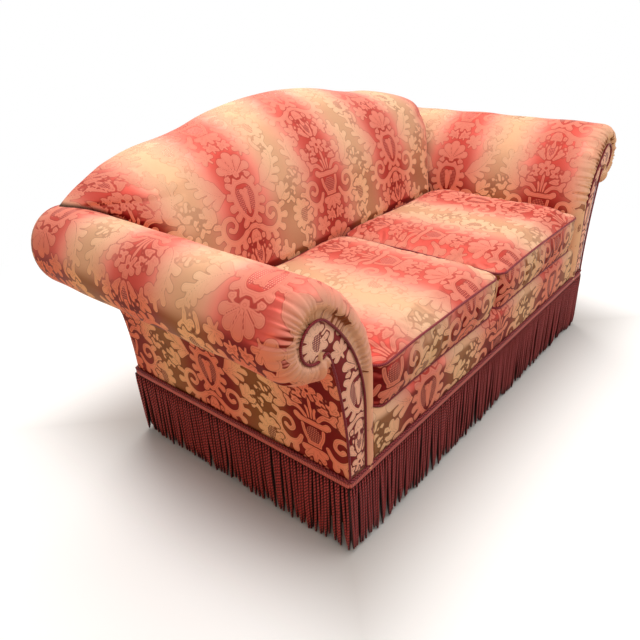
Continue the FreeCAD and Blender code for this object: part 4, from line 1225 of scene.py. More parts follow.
@dataclass(frozen=True)
class ArmShape:
    """Section of the right arm: inside face, sweep, scroll and hollow outside."""

    inner: float = 613.0
    roll_x: float = 814.0
    roll_z: float = 654.0
    roll_radius: float = 105.0
    sweep_radius: float = 330.0
    stem: float = 722.0
    flare_radius: float = 1230.0
    flare_start: float = 236.5
    low: float = 215.0

    @property
    def roll(self) -> tuple:
        """Centre of the scroll."""
        return (self.roll_x, self.roll_z)

    @property
    def sweep(self) -> tuple:
        """Centre of the sweep that leads from the inside face into the scroll.

        Returns:
            Its x and height.
        """
        across = self.inner + self.sweep_radius
        rise = math.sqrt((self.sweep_radius - self.roll_radius) ** 2 - (across - self.roll_x) ** 2)
        return (across, self.roll_z - rise)

    @property
    def flare(self) -> tuple:
        """Centre of the hollow outside face."""
        return (self.stem + self.flare_radius, self.flare_start)

    @property
    def tuck(self) -> tuple:
        """Where the scroll comes back to the outside face."""
        return circles_meet(self.roll, self.roll_radius, self.flare, self.flare_radius)

    def outside(self, height: Array) -> Array:
        """How far out the outside face is at a height."""
        rise = np.maximum(0.0, height - self.flare_start)
        return self.flare[0] - np.sqrt(self.flare_radius**2 - rise**2)

    def profile(self, step: float) -> tuple:
        """Even points up the inside face and round the scroll to the tuck.

        Args:
            step: about how far apart the points lie.

        Returns:
            Points, outward normals and lengths along the cloth.
        """
        blend = heading(self.sweep, self.roll)
        stop = heading(self.roll, self.tuck)
        rise = self.sweep[1] - self.low
        sweep = math.radians(180.0 - blend) * self.sweep_radius
        total = rise + sweep + math.radians(blend - stop) * self.roll_radius
        length = np.linspace(0.0, total, int(total / step) + 1)
        on_sweep = math.pi - np.clip(length - rise, 0.0, sweep) / self.sweep_radius
        on_roll = math.radians(blend) - np.maximum(0.0, length - rise - sweep) / self.roll_radius
        turn = np.where(length < rise + sweep, on_sweep, on_roll)
        normal = np.column_stack([np.cos(turn), np.sin(turn)])
        centre = np.where((length < rise + sweep)[:, None], self.sweep, self.roll)
        radius = np.where(length < rise + sweep, self.sweep_radius, self.roll_radius)
        points = centre + radius[:, None] * normal
        points[:, 1] -= np.maximum(0.0, rise - length)
        return points, normal, length

    def clearance(self, x: Array, z: Array) -> Array:
        """Distance of points from the arm, negative within it.

        Args:
            x, z: places.

        Returns:
            The distances.
        """
        across = np.abs(x)
        to_sweep = np.hypot(across - self.sweep[0], z - self.sweep[1]) - self.sweep_radius
        to_roll = np.hypot(across - self.roll_x, z - self.roll_z) - self.roll_radius
        angle = np.degrees(np.arctan2(z - self.sweep[1], across - self.sweep[0]))
        swept = np.where(angle > heading(self.sweep, self.roll), to_sweep, to_roll)
        return np.where(z < self.sweep[1], self.inner - across, swept)


@dataclass
class RolledArm:
    """Stuffed scroll arm with pleats round its front, and its outside panel."""

    work: Upholsterer
    shape: ArmShape
    rear: RearPlane
    side: Side
    stripes: Stripes
    seed: int
    rim: float = 38.0
    tucked: float = 70.0
    step: float = 3.5
    lining: float = 7.0
    turn_in: float = 22.0
    pleats: int = 50
    pleat_depth: float = 4.0
    pleat_width: tuple = (2.2, 4.4)
    pleat_reach: tuple = (70.0, 150.0)
    pleat_drift: float = 0.10
    gathered: float = 6.0
    gather_reach: tuple = (4.0, 44.0)
    fold: float = 9.0
    puff: float = 1.4
    proud: float = 9.0
    cover: float = 3.0

    def build(self) -> None:
        """Make the arm and its outside panel."""
        self.build_arm()
        self.build_outside()

    def pleat(self, along: Array, back: Array, total: float) -> Array:
        """Depth of the gathers.

        Args:
            along: length round the section.
            back: distance over the surface from the facing.
            total: full length round the section.

        Returns:
            Height over the plain surface.
        """
        random = np.random.default_rng(self.seed)
        first = total * 0.30
        turns = np.arange(self.pleats) + random.uniform(-0.32, 0.32, self.pleats)
        places = first + (total - first) * turns / self.pleats
        height = np.zeros(np.broadcast(along, back).shape)
        for place in places:
            width = random.uniform(*self.pleat_width)
            reach = random.uniform(*self.pleat_reach)
            drift = random.uniform(-self.pleat_drift, self.pleat_drift)
            offset = along - place - drift * back
            fade = 1 - smooth_step(back, reach * 0.35, reach)
            ridge = np.exp(-(((offset - 2.2 * width) / (1.6 * width)) ** 2))
            crease = 0.55 * ridge - np.exp(-((offset / width) ** 2))
            height = height + random.uniform(0.6, 1.0) * self.pleat_depth * crease * fade
        fold = np.exp(-(((along - total + 26.0 + 0.25 * back) / 13.0) ** 2)) * (1 - smooth_step(back, 50.0, 130.0))
        return height + self.fold * fold

    def build_arm(self) -> None:
        """Closed shell: rows run from the rear, over the front rim, to behind the facing."""
        spots, normal, length = self.shape.profile(self.step)
        down = np.linspace(self.shape.tuck[1], self.shape.low, 14)[1:]
        back = np.column_stack([self.shape.outside(down) - self.lining, down])
        back = np.vstack([back, [[(self.shape.inner + self.shape.stem) / 2, self.shape.low]]])
        body = np.linspace(1.0, 0.0, int((self.rear.depth - self.rim) / self.step) + 1)
        bend = np.radians(np.linspace(0.0, 90.0, int(self.rim * math.pi / 2 / self.step) + 1))[1:]
        flat = np.linspace(self.rim, self.tucked, int((self.tucked - self.rim) / self.step) + 1)[1:]
        turned = np.ones(2)
        body = np.concatenate([turned, body])
        sunk = np.zeros(len(body) + len(bend) + len(flat))
        sunk[0] = self.turn_in
        share = np.concatenate([body, np.zeros(len(bend) + len(flat))])
        lean = np.concatenate([np.zeros(len(body)), bend, np.full(len(flat), math.pi / 2)])
        inset = np.concatenate([turned * self.turn_in, np.zeros(len(body) - 2), self.rim * (1 - np.cos(bend)), flat])
        welted = np.clip((flat - self.rim) / 12.0, 0.0, 1.0) * math.pi / 2
        ahead = np.concatenate([np.full(len(body), self.rim), self.rim - (self.rim + self.proud) * np.sin(bend),
                                -self.proud * np.cos(welted)])
        over = np.concatenate([np.full(len(body), self.rim * math.pi / 2), self.rim * (math.pi / 2 - bend),
                               self.rim - flat])
        rows, columns = len(share), len(spots) + len(back) + 1
        points = np.zeros((rows, columns, 3))
        fabric = np.zeros((rows, columns, 2))
        n = len(spots)
        end = self.rear.at(spots[:, 1]) - self.cover - 1
        depth = ahead[:, None] - sunk[:, None] + share[:, None] * (end[None, :] - self.rim)
        behind = over[:, None] + (depth - ahead[:, None]) + self.tucked - self.rim
        height = self.pleat(length[None, :], behind, length[-1])
        loose = smooth_step(length, length[-1] * 0.36, length[-1] * 0.46)
        height = height * np.where(lean[:, None] > 0, 1.0, loose[None, :])
        height = height + loose * ripple(self.seed, depth, np.broadcast_to(length, depth.shape), 160.0, self.puff)
        points[:, :n, 0] = spots[None, :, 0] + normal[None, :, 0] * (height * np.cos(lean)[:, None] - inset[:, None])
        points[:, :n, 2] = spots[None, :, 1] + normal[None, :, 1] * (height * np.cos(lean)[:, None] - inset[:, None])
        points[:, :n, 1] = depth - height * np.sin(lean)[:, None]
        fabric[:, :n, 0] = self.stripes.across(behind - self.tucked + self.rim - self.rim * (math.pi / 2 - 1))
        fabric[:, :n, 1] = length[None, :]
        far = self.rear.at(back[:, 1]) - self.cover - 1
        points[:, n:-1, 0] = back[None, :, 0] - np.where(lean > 0, 0.02, 0.6)[:, None] * inset[:, None]
        points[:, n:-1, 1] = (np.maximum(ahead, 2.0) - sunk)[:, None] + share[:, None] * (far[None, :] - self.rim)
        points[:, n:-1, 2] = back[None, :, 1]
        points[:, -1] = points[:, 0]
        fabric[:, -1] = fabric[:, 0]
        points[..., 0] *= self.side.value
        obj = self.work.mesher.shell(f"{self.side.word}_arm", points, fabric)
        self.work.finish(obj, self.work.palette.damask, "damask",
                         (f"{self.side.word}_arm_cover", f"{self.side.word}_arm_padding"))
        self.gather(obj)

    def gather(self, obj: Piece) -> None:
        """Let the figure run together where the cloth is gathered round the facing.

        Args:
            obj: the arm.
        """
        corner = fetch(obj.data.loops, "vertex_index", kind=np.int32)
        depth = self.work.mesher.measure(obj)[corner, 1]
        data = obj.data.attributes[FIGURE].data
        mark = fetch(data, "value")
        mark -= self.gathered * (1 - smooth_step(depth, *self.gather_reach))
        data.foreach_set("value", mark.astype(np.float32))

    def build_outside(self) -> None:
        """Taut panel from the fringe up to the scroll, a thin closed slab."""
        low, high = self.shape.low, self.shape.tuck[1]
        height = np.linspace(low, high + 6.0, int((high - low) / 4.0))
        out = self.shape.outside(height)
        share = np.linspace(0.0, 1.0, int(self.rear.depth / 4.0))
        length = self.rear.at(height) - self.cover
        depth = 1.0 + share[:, None] * (length[None, :] - 1.0)
        level = np.broadcast_to(height, depth.shape)
        fall = ripple(self.seed + 1, depth, level, 260.0, 0.8)
        outer = np.stack([(out + fall) * self.side.value, depth, level], -1)
        under = np.broadcast_to((out - self.cover - 2.0) * self.side.value, depth.shape)
        inner = np.stack([under, depth, level], -1)
        fabric = np.stack([self.stripes.across(depth), level - 40.0], -1)
        under = np.linspace(len(height) - 1, 0, 12).astype(int)
        points = np.concatenate([outer, inner[:, under], outer[:, :1]], axis=1)
        fabric = np.concatenate([fabric, fabric[:, under], fabric[:, :1]], axis=1)
        obj = self.work.mesher.shell(f"{self.side.word}_outside_arm", points, fabric)
        self.work.finish(obj, self.work.palette.damask, "damask", (f"{self.side.word}_outside_arm_cover",))


@dataclass
class ArmFacing:
    """Front panel of an arm, a crook with a hooked end, and the welt round it."""

    work: Upholsterer
    shape: ArmShape
    side: Side
    edge: float = 49.0
    curve_start: float = 400.0
    hook: tuple = (814.0, 645.0)
    hook_radius: float = 45.0
    notch_radius: float = 9.0
    welt: float = 4.5
    cord: float = 3.0
    step: float = 3.0
    crown: float = 3.5
    shrink: float = 0.85

    def crook(self, inset: float) -> Array:
        """Outline from the foot of its inner side, round the hook, to its outer foot.

        Args:
            inset: distance in from the facing's edge.

        Returns:
            The points.
        """
        inner = self.shape.inner + self.edge
        reach, rise = self.hook[0] - inner, self.hook[1] - self.curve_start
        bend = (reach**2 + rise**2 - self.hook_radius**2) / (2 * (reach - self.hook_radius))
        centre = (inner + bend, self.curve_start)
        blend = heading(centre, self.hook)
        flare = self.shape.flare_radius - self.cord * 0.5
        notch = circles_meet(self.hook, self.hook_radius + self.notch_radius,
                             self.shape.flare, flare - self.notch_radius)
        to_notch = heading(self.hook, notch)
        leave = heading(self.shape.flare, notch) % 360
        low = self.shape.flare_start
        foot = np.linspace(low, self.curve_start, int((self.curve_start - low) / self.step))
        runs = [
            np.column_stack([np.full(len(foot), inner + inset), foot])[:-1],
            arc(centre, bend - inset, 180.0, blend, self.step)[:-1],
            arc(self.hook, self.hook_radius - inset, blend, to_notch, self.step)[:-1],
            arc(notch, self.notch_radius + inset, to_notch + 180.0, leave, self.step)[:-1],
            arc(self.shape.flare, flare + inset, leave, 180.0, self.step),
        ]
        return np.vstack(runs)

    def build(self) -> None:
        """Make the padded panel and its welt."""
        rim = self.crook(self.welt * 0.6)
        sign = self.side.value
        middle = self.shape.inner + self.edge + 26.0

        def depth(_x: Array, _z: Array, edge: Array) -> Array:
            """Crown that swells in from the rim."""
            return -1.0 - self.crown * np.sin(np.clip(edge / 24.0, 0.0, 1.0) * math.pi / 2)

        def fabric(x: Array, z: Array) -> tuple:
            """Fabric with a smaller figure, centred on the facing."""
            return (np.abs(x) - middle) / self.shrink, (z + 82.0) / self.shrink

        rim = rim * np.array([sign, 1.0])
        panel = self.work.mesher.sheet(f"{self.side.word}_facing", rim[::sign], self.step, depth, fabric)
        self.work.mesher.thicken(panel, 5.0, -1)
        self.work.finish(panel, self.work.palette.facing, "facing_damask", (f"{self.side.word}_arm_facing",))
        line = self.crook(0.0)
        path = np.column_stack([line[:, 0] * sign, np.full(len(line), -self.cord - 0.8), line[:, 1]])
        cord = self.work.mesher.tube(f"{self.side.word}_facing_welt", path, self.cord, 10, (0, 1, 0), False)
        nodes = ("facing_welts",) if self.side is Side.RIGHT else ()
        self.work.finish(cord, self.work.palette.welt, "welt", nodes)


@dataclass
class CamelBack:
    """Tight inside back under a camel outline, rolled over the crown and drawn in at the arms."""

    work: Upholsterer
    arm: ArmShape
    rear: RearPlane
    height: float = 938.0
    hump_half: float = 340.0
    hump_fall: float = 0.482
    dip_half: float = 500.0
    dip_fall: float = 0.199
    tip_x: float = 825.0
    tip_z: float = 762.0
    face: float = 592.0
    rake_start: float = 500.0
    rake: float = 11.7
    sweep_z: float = 650.0
    sweep_radius: float = 345.0
    crown_depth: float = 75.0
    crown_front: float = 80.0
    crown_rear: float = 24.0
    seam_drop: float = 27.0
    low: float = 350.0
    slack: float = 0.55
    deepest: float = 130.0
    step: float = 3.7
    cover: float = 3.0
    stripes: Stripes = Stripes(0.0, 370.0)
    under_top: float = 95.0
    halvings: int = 34
    # distances from the arm over which the painted crease shade fades out
    tuck_reach: tuple = (2.0, 13.0)
    fold_start: float = 0.1
    fold_slope: float = 2.06

    def top(self, x: Array) -> Array:
        """Height of the camel outline.

        Args:
            x: places across.

        Returns:
            The heights.
        """
        across = np.abs(x)
        rise = self.height - self.tip_z
        hump = math.atan(self.hump_fall * rise / self.hump_half)
        dip = math.atan(self.dip_fall * rise / self.dip_half)
        hump_radius = self.hump_half / math.sin(hump)
        turn_z = self.height - hump_radius * (1 - math.cos(hump))
        dip_radius = (self.dip_half - self.hump_half) / (math.sin(hump) - math.sin(dip))
        dip_centre = (self.hump_half + dip_radius * math.sin(hump), turn_z + dip_radius * math.cos(hump))
        shoulder = (self.dip_half, dip_centre[1] - dip_radius * math.cos(dip))
        chord = math.hypot(self.tip_x - shoulder[0], self.tip_z - shoulder[1])
        bend = math.atan2(shoulder[1] - self.tip_z, self.tip_x - shoulder[0]) - dip
        wing_radius = chord / (2 * math.sin(bend))
        wing_centre = (shoulder[0] - wing_radius * math.sin(dip), shoulder[1] - wing_radius * math.cos(dip))
        on_hump = self.height - hump_radius + np.sqrt(hump_radius**2 - np.minimum(across, self.hump_half) ** 2)
        on_dip = dip_centre[1] - np.sqrt(np.maximum(0.0, dip_radius**2 - (across - dip_centre[0]) ** 2))
        on_wing = wing_centre[1] + np.sqrt(np.maximum(0.0, wing_radius**2 - (across - wing_centre[0]) ** 2))
        return np.where(across < self.hump_half, on_hump, np.where(across < self.dip_half, on_dip, on_wing))

    def foot(self, x: Array) -> Array:
        """Height that the stuffing reaches down to; over an arm it ends within the scroll."""
        return np.interp(np.abs(x), (600.0, 690.0, self.tip_x), (self.low, 600.0, 655.0))

    def slope(self, z: Array) -> tuple:
        """Depth of the plain inside back at a height, and how fast it leans there.

        Args:
            z: heights.

        Returns:
            Depths and rates.
        """
        lean = math.radians(self.rake)
        start = self.face + (self.sweep_z - self.rake_start) * math.tan(lean)
        centre = (start + self.sweep_radius * math.cos(lean), self.sweep_z - self.sweep_radius * math.sin(lean))
        crown = (float(self.rear.at(np.array(self.height))) - self.crown_depth, self.height)
        reach = math.hypot(crown[0] - centre[0], crown[1] - centre[1])
        leave = math.radians(heading(centre, crown)) + math.acos(self.sweep_radius / reach)
        leave_z = centre[1] + self.sweep_radius * math.sin(leave)
        leave_d = centre[0] + self.sweep_radius * math.cos(leave)
        steep = -math.tan(leave)
        up = np.clip(z, self.sweep_z, leave_z) - centre[1]
        half = np.sqrt(self.sweep_radius**2 - up**2)
        leaning = self.face + np.maximum(0.0, z - self.rake_start) * math.tan(lean)
        depth = np.where(z < self.sweep_z, leaning,
                         np.where(z < leave_z, centre[0] - half, leave_d + (z - leave_z) * steep))
        rate = np.where(z < self.rake_start, 0.0,
                        np.where(z < self.sweep_z, math.tan(lean), np.where(z < leave_z, up / half, steep)))
        return depth, rate

    def drawn_in(self, x: Array, z: Array) -> Array:
        """How far the cloth is pulled back near an arm.

        Args:
            x, z: places.

        Returns:
            Depths to add.
        """
        radius = np.interp(z, (484.0, 600.0, 660.0, 715.0, 762.0), (40.0, 50.0, 79.0, 110.0, 167.0))
        gap = self.arm.clearance(x, z)
        near = np.clip(gap, self.fold_start * radius, radius)
        curve = radius - np.sqrt(radius**2 - (radius - near) ** 2)
        return curve + np.maximum(0.0, self.fold_start * radius - gap) * self.fold_slope

    def outside(self, x: Array, depth: Array, z: Array) -> Array:
        """Distance out of the stuffed back, negative within it.

        Args:
            x, depth, z: places.

        Returns:
            The distances.
        """
        face, rate = self.slope(z)
        front = (face + self.drawn_in(x, z) - depth) / np.sqrt(1 + rate**2)
        tilt = self.top(x + 1.0) - self.top(x)
        top = (z - self.top(x)) / np.sqrt(1 + tilt**2)
        back = (depth - self.rear.at(z) + self.cover) * math.cos(math.radians(self.rear.rake))
        crown = self.rounded(front, top, self.crown_front)
        return self.rounded(crown, np.maximum(top, back), self.crown_rear)

    @staticmethod
    def rounded(first: Array, second: Array, radius: float) -> Array:
        """Distance out of the meeting of two sides with a round edge."""
        a, b = np.maximum(first + radius, 0), np.maximum(second + radius, 0)
        return np.where((a > 0) & (b > 0), np.hypot(a, b) - radius, np.maximum(first, second))

    def section(self, x: Array) -> tuple:
        """Cloth line at every x: up the front, over the crown to the rear seam.

        Args:
            x: places across.

        Returns:
            Depths and heights, one row per place along the line.
        """
        middle_z = self.top(x) - self.under_top
        face, _ = self.slope(middle_z)
        rear = self.rear.at(middle_z)
        middle = (np.minimum(face + self.drawn_in(x, middle_z), rear - 60.0) + rear) / 2
        rise = np.linspace(0.0, 1.0, 170)[:, None]
        z = self.foot(x) + rise * (middle_z - self.foot(x))[None, :]
        low, high = np.full(z.shape, self.face - 60.0), np.broadcast_to(middle, z.shape).copy()
        across = np.broadcast_to(x, z.shape)
        for _ in range(self.halvings):
            half = (low + high) / 2
            out = self.outside(across, half, z) > 0
            low, high = np.where(out, half, low), np.where(out, high, half)
        front = (low, z)
        seam_z = self.top(x) - self.seam_drop
        stop = math.pi - np.arctan2(seam_z - middle_z, self.rear.at(seam_z) - self.cover - middle)
        turn = np.linspace(0.0, 1.0, 110)[1:, None] * stop[None, :]
        near, far = np.zeros(turn.shape), np.full(turn.shape, 420.0)
        across = np.broadcast_to(x, turn.shape)
        for _ in range(self.halvings):
            half = (near + far) / 2
            out = self.outside(across, middle - half * np.cos(turn), middle_z + half * np.sin(turn)) > 0
            near, far = np.where(out, near, half), np.where(out, half, far)
        fan = (middle - near * np.cos(turn), middle_z + near * np.sin(turn))
        return np.vstack([front[0], fan[0]]), np.vstack([front[1], fan[1]])

    def build(self) -> None:
        """Make the closed, stuffed inside back."""
        x = np.linspace(-self.tip_x, self.tip_x, int(2 * self.tip_x / self.step) + 1)
        depth, z = self.section(x)
        pieces = np.hypot(np.diff(depth, axis=0), np.diff(z, axis=0))
        length = np.vstack([np.zeros(len(x)), np.cumsum(pieces, axis=0)])
        rows = int(length[-1].max() / self.step) + 1
        share = np.linspace(0.0, 1.0, rows)
        even = np.zeros((3, rows, len(x)))
        for k in range(len(x)):
            at = share * length[-1, k]
            even[0, :, k] = np.interp(at, length[:, k], depth[:, k])
            even[1, :, k] = np.interp(at, length[:, k], z[:, k])
            even[2, :, k] = at
        across = np.broadcast_to(x, even[0].shape)
        puff = ripple(31, across, even[2], 240.0, 1.6) * smooth_step(even[1], 520.0, 620.0)
        even[0] = even[0] + puff
        reach = across + np.sign(across) * self.slack * np.minimum(self.drawn_in(across, even[1]), self.deepest)
        along = even[2] + self.foot(x) - self.low - 30.0
        inner = np.linspace(0.0, 1.0, 14)[1:]
        seam = even[:, -1]
        down_z = seam[1] + inner[:, None] * (self.foot(x) - seam[1])
        down = np.minimum(self.rear.at(down_z) - self.cover - 14.0 * np.minimum(1.0, inner * 6)[:, None], 900.0)
        points = np.concatenate([
            np.stack([across, even[0], even[1]], -1),
            np.stack([np.broadcast_to(x, down.shape), down, down_z], -1),
            np.stack([across, even[0], even[1]], -1)[:1],
        ])
        fabric = np.concatenate([
            np.stack([self.stripes.across(reach), along], -1),
            np.zeros((*down.shape, 2)),
            np.stack([self.stripes.across(reach), along], -1)[:1],
        ])
        obj = self.work.mesher.shell("inside_back", points, fabric)
        self.darken_tuck(obj)
        self.work.finish(obj, self.work.palette.damask, "damask", ("inside_back_cover", "back_padding"))

    def darken_tuck(self, obj: Piece) -> None:
        """Paint shade on the cloth that runs down into the deep tuck beside each arm: a mask, 1 in the crease, that
        darkens the damask's colour there.

        Args:
            obj: the inside back.
        """
        spots = coordinates(obj) / MM
        mark = 1 - smooth_step(self.arm.clearance(spots[:, 0], spots[:, 2]), *self.tuck_reach)
        obj.data.attributes.new(PAINTED_CREASE_SHADE, "FLOAT", "POINT").data.foreach_set("value", mark.astype(np.float32))

    def build_outside(self) -> None:
        """Taut rear panel with the outline of the frame's rear panel."""
        rim = outline_of("outside_back_cover", Vector((0.0, 1.0, 0.0)))

        def depth(x: Array, z: Array, edge: Array) -> Array:
            """Rear plane with a soft unevenness away from the rim."""
            return self.rear.at(z) + ripple(41, x, z, 300.0, 0.7) * np.clip(edge / 60.0, 0.0, 1.0)

        def fabric(x: Array, z: Array) -> tuple:
            """Fabric laid straight up the panel."""
            return self.stripes.across(x), z - 120.0

        obj = self.work.mesher.sheet("outside_back", rim, 5.5, depth, fabric)
        self.work.mesher.thicken(obj, self.cover, 1)
        self.work.finish(obj, self.work.palette.damask, "damask", ("outside_back_cover",))


def outline_of(node: str, facing: Vector) -> Array:
    """Rim of the faces of a frame node that look along a direction, as x and height in millimetres.

    Args:
        node: the node's name.
        facing: the direction.

    Returns:
        The outline.
    """
    mesh = bpy.data.objects[node].data
    sides: dict = {}
    for face in mesh.polygons:
        if face.normal.dot(facing) > 0.8:
            spots = [tuple(round(c / MM, 2) for c in mesh.vertices[i].co.xz) for i in face.vertices]
            for start, end in zip(spots, spots[1:] + spots[:1]):
                if start != end and sides.pop((end, start), None) is None:
                    sides[(start, end)] = True
    line = dict(sides.keys())
    first = next(iter(line))
    rim = [first]
    while line[rim[-1]] != first:
        rim.append(line[rim[-1]])
    return np.array(rim)


@dataclass
class SeatDeck:
    """Front border with its nosing, and the cloth deck under the cushions."""

    work: Upholsterer
    half: float = 612.5
    tuck: float = 12.0
    low: float = 215.0
    top: float = 361.7
    nosing: float = 34.0
    lip: float = 60.0
    rear: float = 764.0
    step: float = 3.5
    swell: float = 4.0
    sag: float = 4.0
    stripes: Stripes = Stripes(20.0, 407.0)

    def build(self) -> None:
        """Make the border and the deck."""
        wide = self.half + self.tuck
        x = np.linspace(-wide, wide, int(2 * wide / self.step) + 1)
        face = np.linspace(self.low, self.top - self.nosing, int((self.top - self.nosing - self.low) / self.step) + 1)
        bend = arc((self.nosing, self.top - self.nosing), self.nosing, 180.0, 90.0, self.step)[1:]
        lip = np.linspace(self.nosing, self.lip, int((self.lip - self.nosing) / self.step) + 1)[1:]
        line = np.vstack([np.column_stack([np.zeros(len(face)), face]), bend,
                          np.column_stack([lip, np.full(len(lip), self.top)])])
        run = run_length(line)
        hidden = np.array([[self.lip, self.low + 40.0], [self.lip, self.low], [self.lip / 2, self.low], line[0]])
        bulge = self.swell * np.sin(np.clip(run / run[-1], 0, 1) * math.pi) ** 0.8
        wave = ripple(51, x[None, :], run[:, None], 180.0, 0.8)
        ends = 1 - np.minimum(1.0, np.abs(x) / self.half) ** 12
        points = np.zeros((len(line) + len(hidden), len(x), 3))
        points[..., 0] = x
        points[: len(line), :, 1] = line[:, :1] - ((bulge[:, None] + wave) * ends * (line[:, :1] < self.nosing))
        points[: len(line), :, 2] = line[:, 1:]
        points[len(line):, :, 1] = hidden[:, :1]
        points[len(line):, :, 2] = hidden[:, 1:]
        points[-1] = points[0]
        along = np.concatenate([run, np.zeros(len(hidden))])
        fabric = np.stack(np.broadcast_arrays(self.stripes.across(x)[None, :], along[:, None] + 250.0), -1)
        obj = self.work.mesher.shell("front_border", points, fabric)
        self.work.finish(obj, self.work.palette.damask, "damask", ("front_border_cover", "front_edge_padding"))
        self.build_deck()

    def build_deck(self) -> None:
        """Cloth stretched over the springs' pad, with a seam along the border."""
        x = np.linspace(-self.half, self.half, 124)
        depth = np.linspace(self.lip, self.rear, 72)
        sink = 1.0 + 0.5 * np.sin(depth[:, None] * 0.021) * np.cos(x[None, :] * 0.017)
        height = self.top - 0.4 - sink
        grid = np.stack([np.broadcast_to(x, height.shape), np.broadcast_to(depth[:, None], height.shape), height], -1)
        under = grid.copy()
        under[..., 2] = self.top - 8.0
        points = np.concatenate([grid, under[::-1][:: len(depth) - 1], grid[:1]])
        fabric = np.stack([points[..., 0], points[..., 1]], -1)
        obj = self.work.mesher.shell("deck", points, fabric)
        self.work.finish(obj, self.work.palette.deck, "deck_cloth", ("deck_cover", "deck_pad"))
        self.build_dust_sheet()

    def build_dust_sheet(self) -> None:
        """Cloth tacked under the rails, cut out round the feet and sagging a little between them."""
        low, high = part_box("dust_cover")
        feet = [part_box(f"{end}_{side.word}_foot") for end in ("front", "rear") for side in Side]
        s, t = np.meshgrid(np.linspace(0.0, 1.0, 146), np.linspace(0.0, 1.0, 83))
        sag = self.sag * np.sin(s * math.pi) * np.sin(t * math.pi)
        across, along = low.x + s * (high.x - low.x), low.y + t * (high.y - low.y)
        points = np.stack([across / MM, (along - self.work.mesher.front) / MM, (low.z + high.z) / 2 / MM - sag], -1)
        obj = self.work.mesher.panel("dust_sheet", points, points[..., :2])
        bpy.context.tool_settings.mesh_select_mode = (False, False, True)
        for face in obj.data.polygons:
            face.select = any(a.x < face.center.x < b.x and a.y < face.center.y < b.y for a, b in feet)
        self.work.mesher.activate(obj)
        bpy.ops.object.mode_set(mode="EDIT")
        bpy.ops.mesh.delete(type="FACE")
        bpy.ops.object.mode_set(mode="OBJECT")
        bpy.context.tool_settings.mesh_select_mode = (True, False, False)
        cloth = obj.modifiers.new("cloth", "SOLIDIFY")
        cloth.thickness = high.z - low.z
        self.work.mesher.apply(obj, cloth)
        self.work.finish(obj, self.work.palette.dust, "dust_cloth", ("dust_cover",))


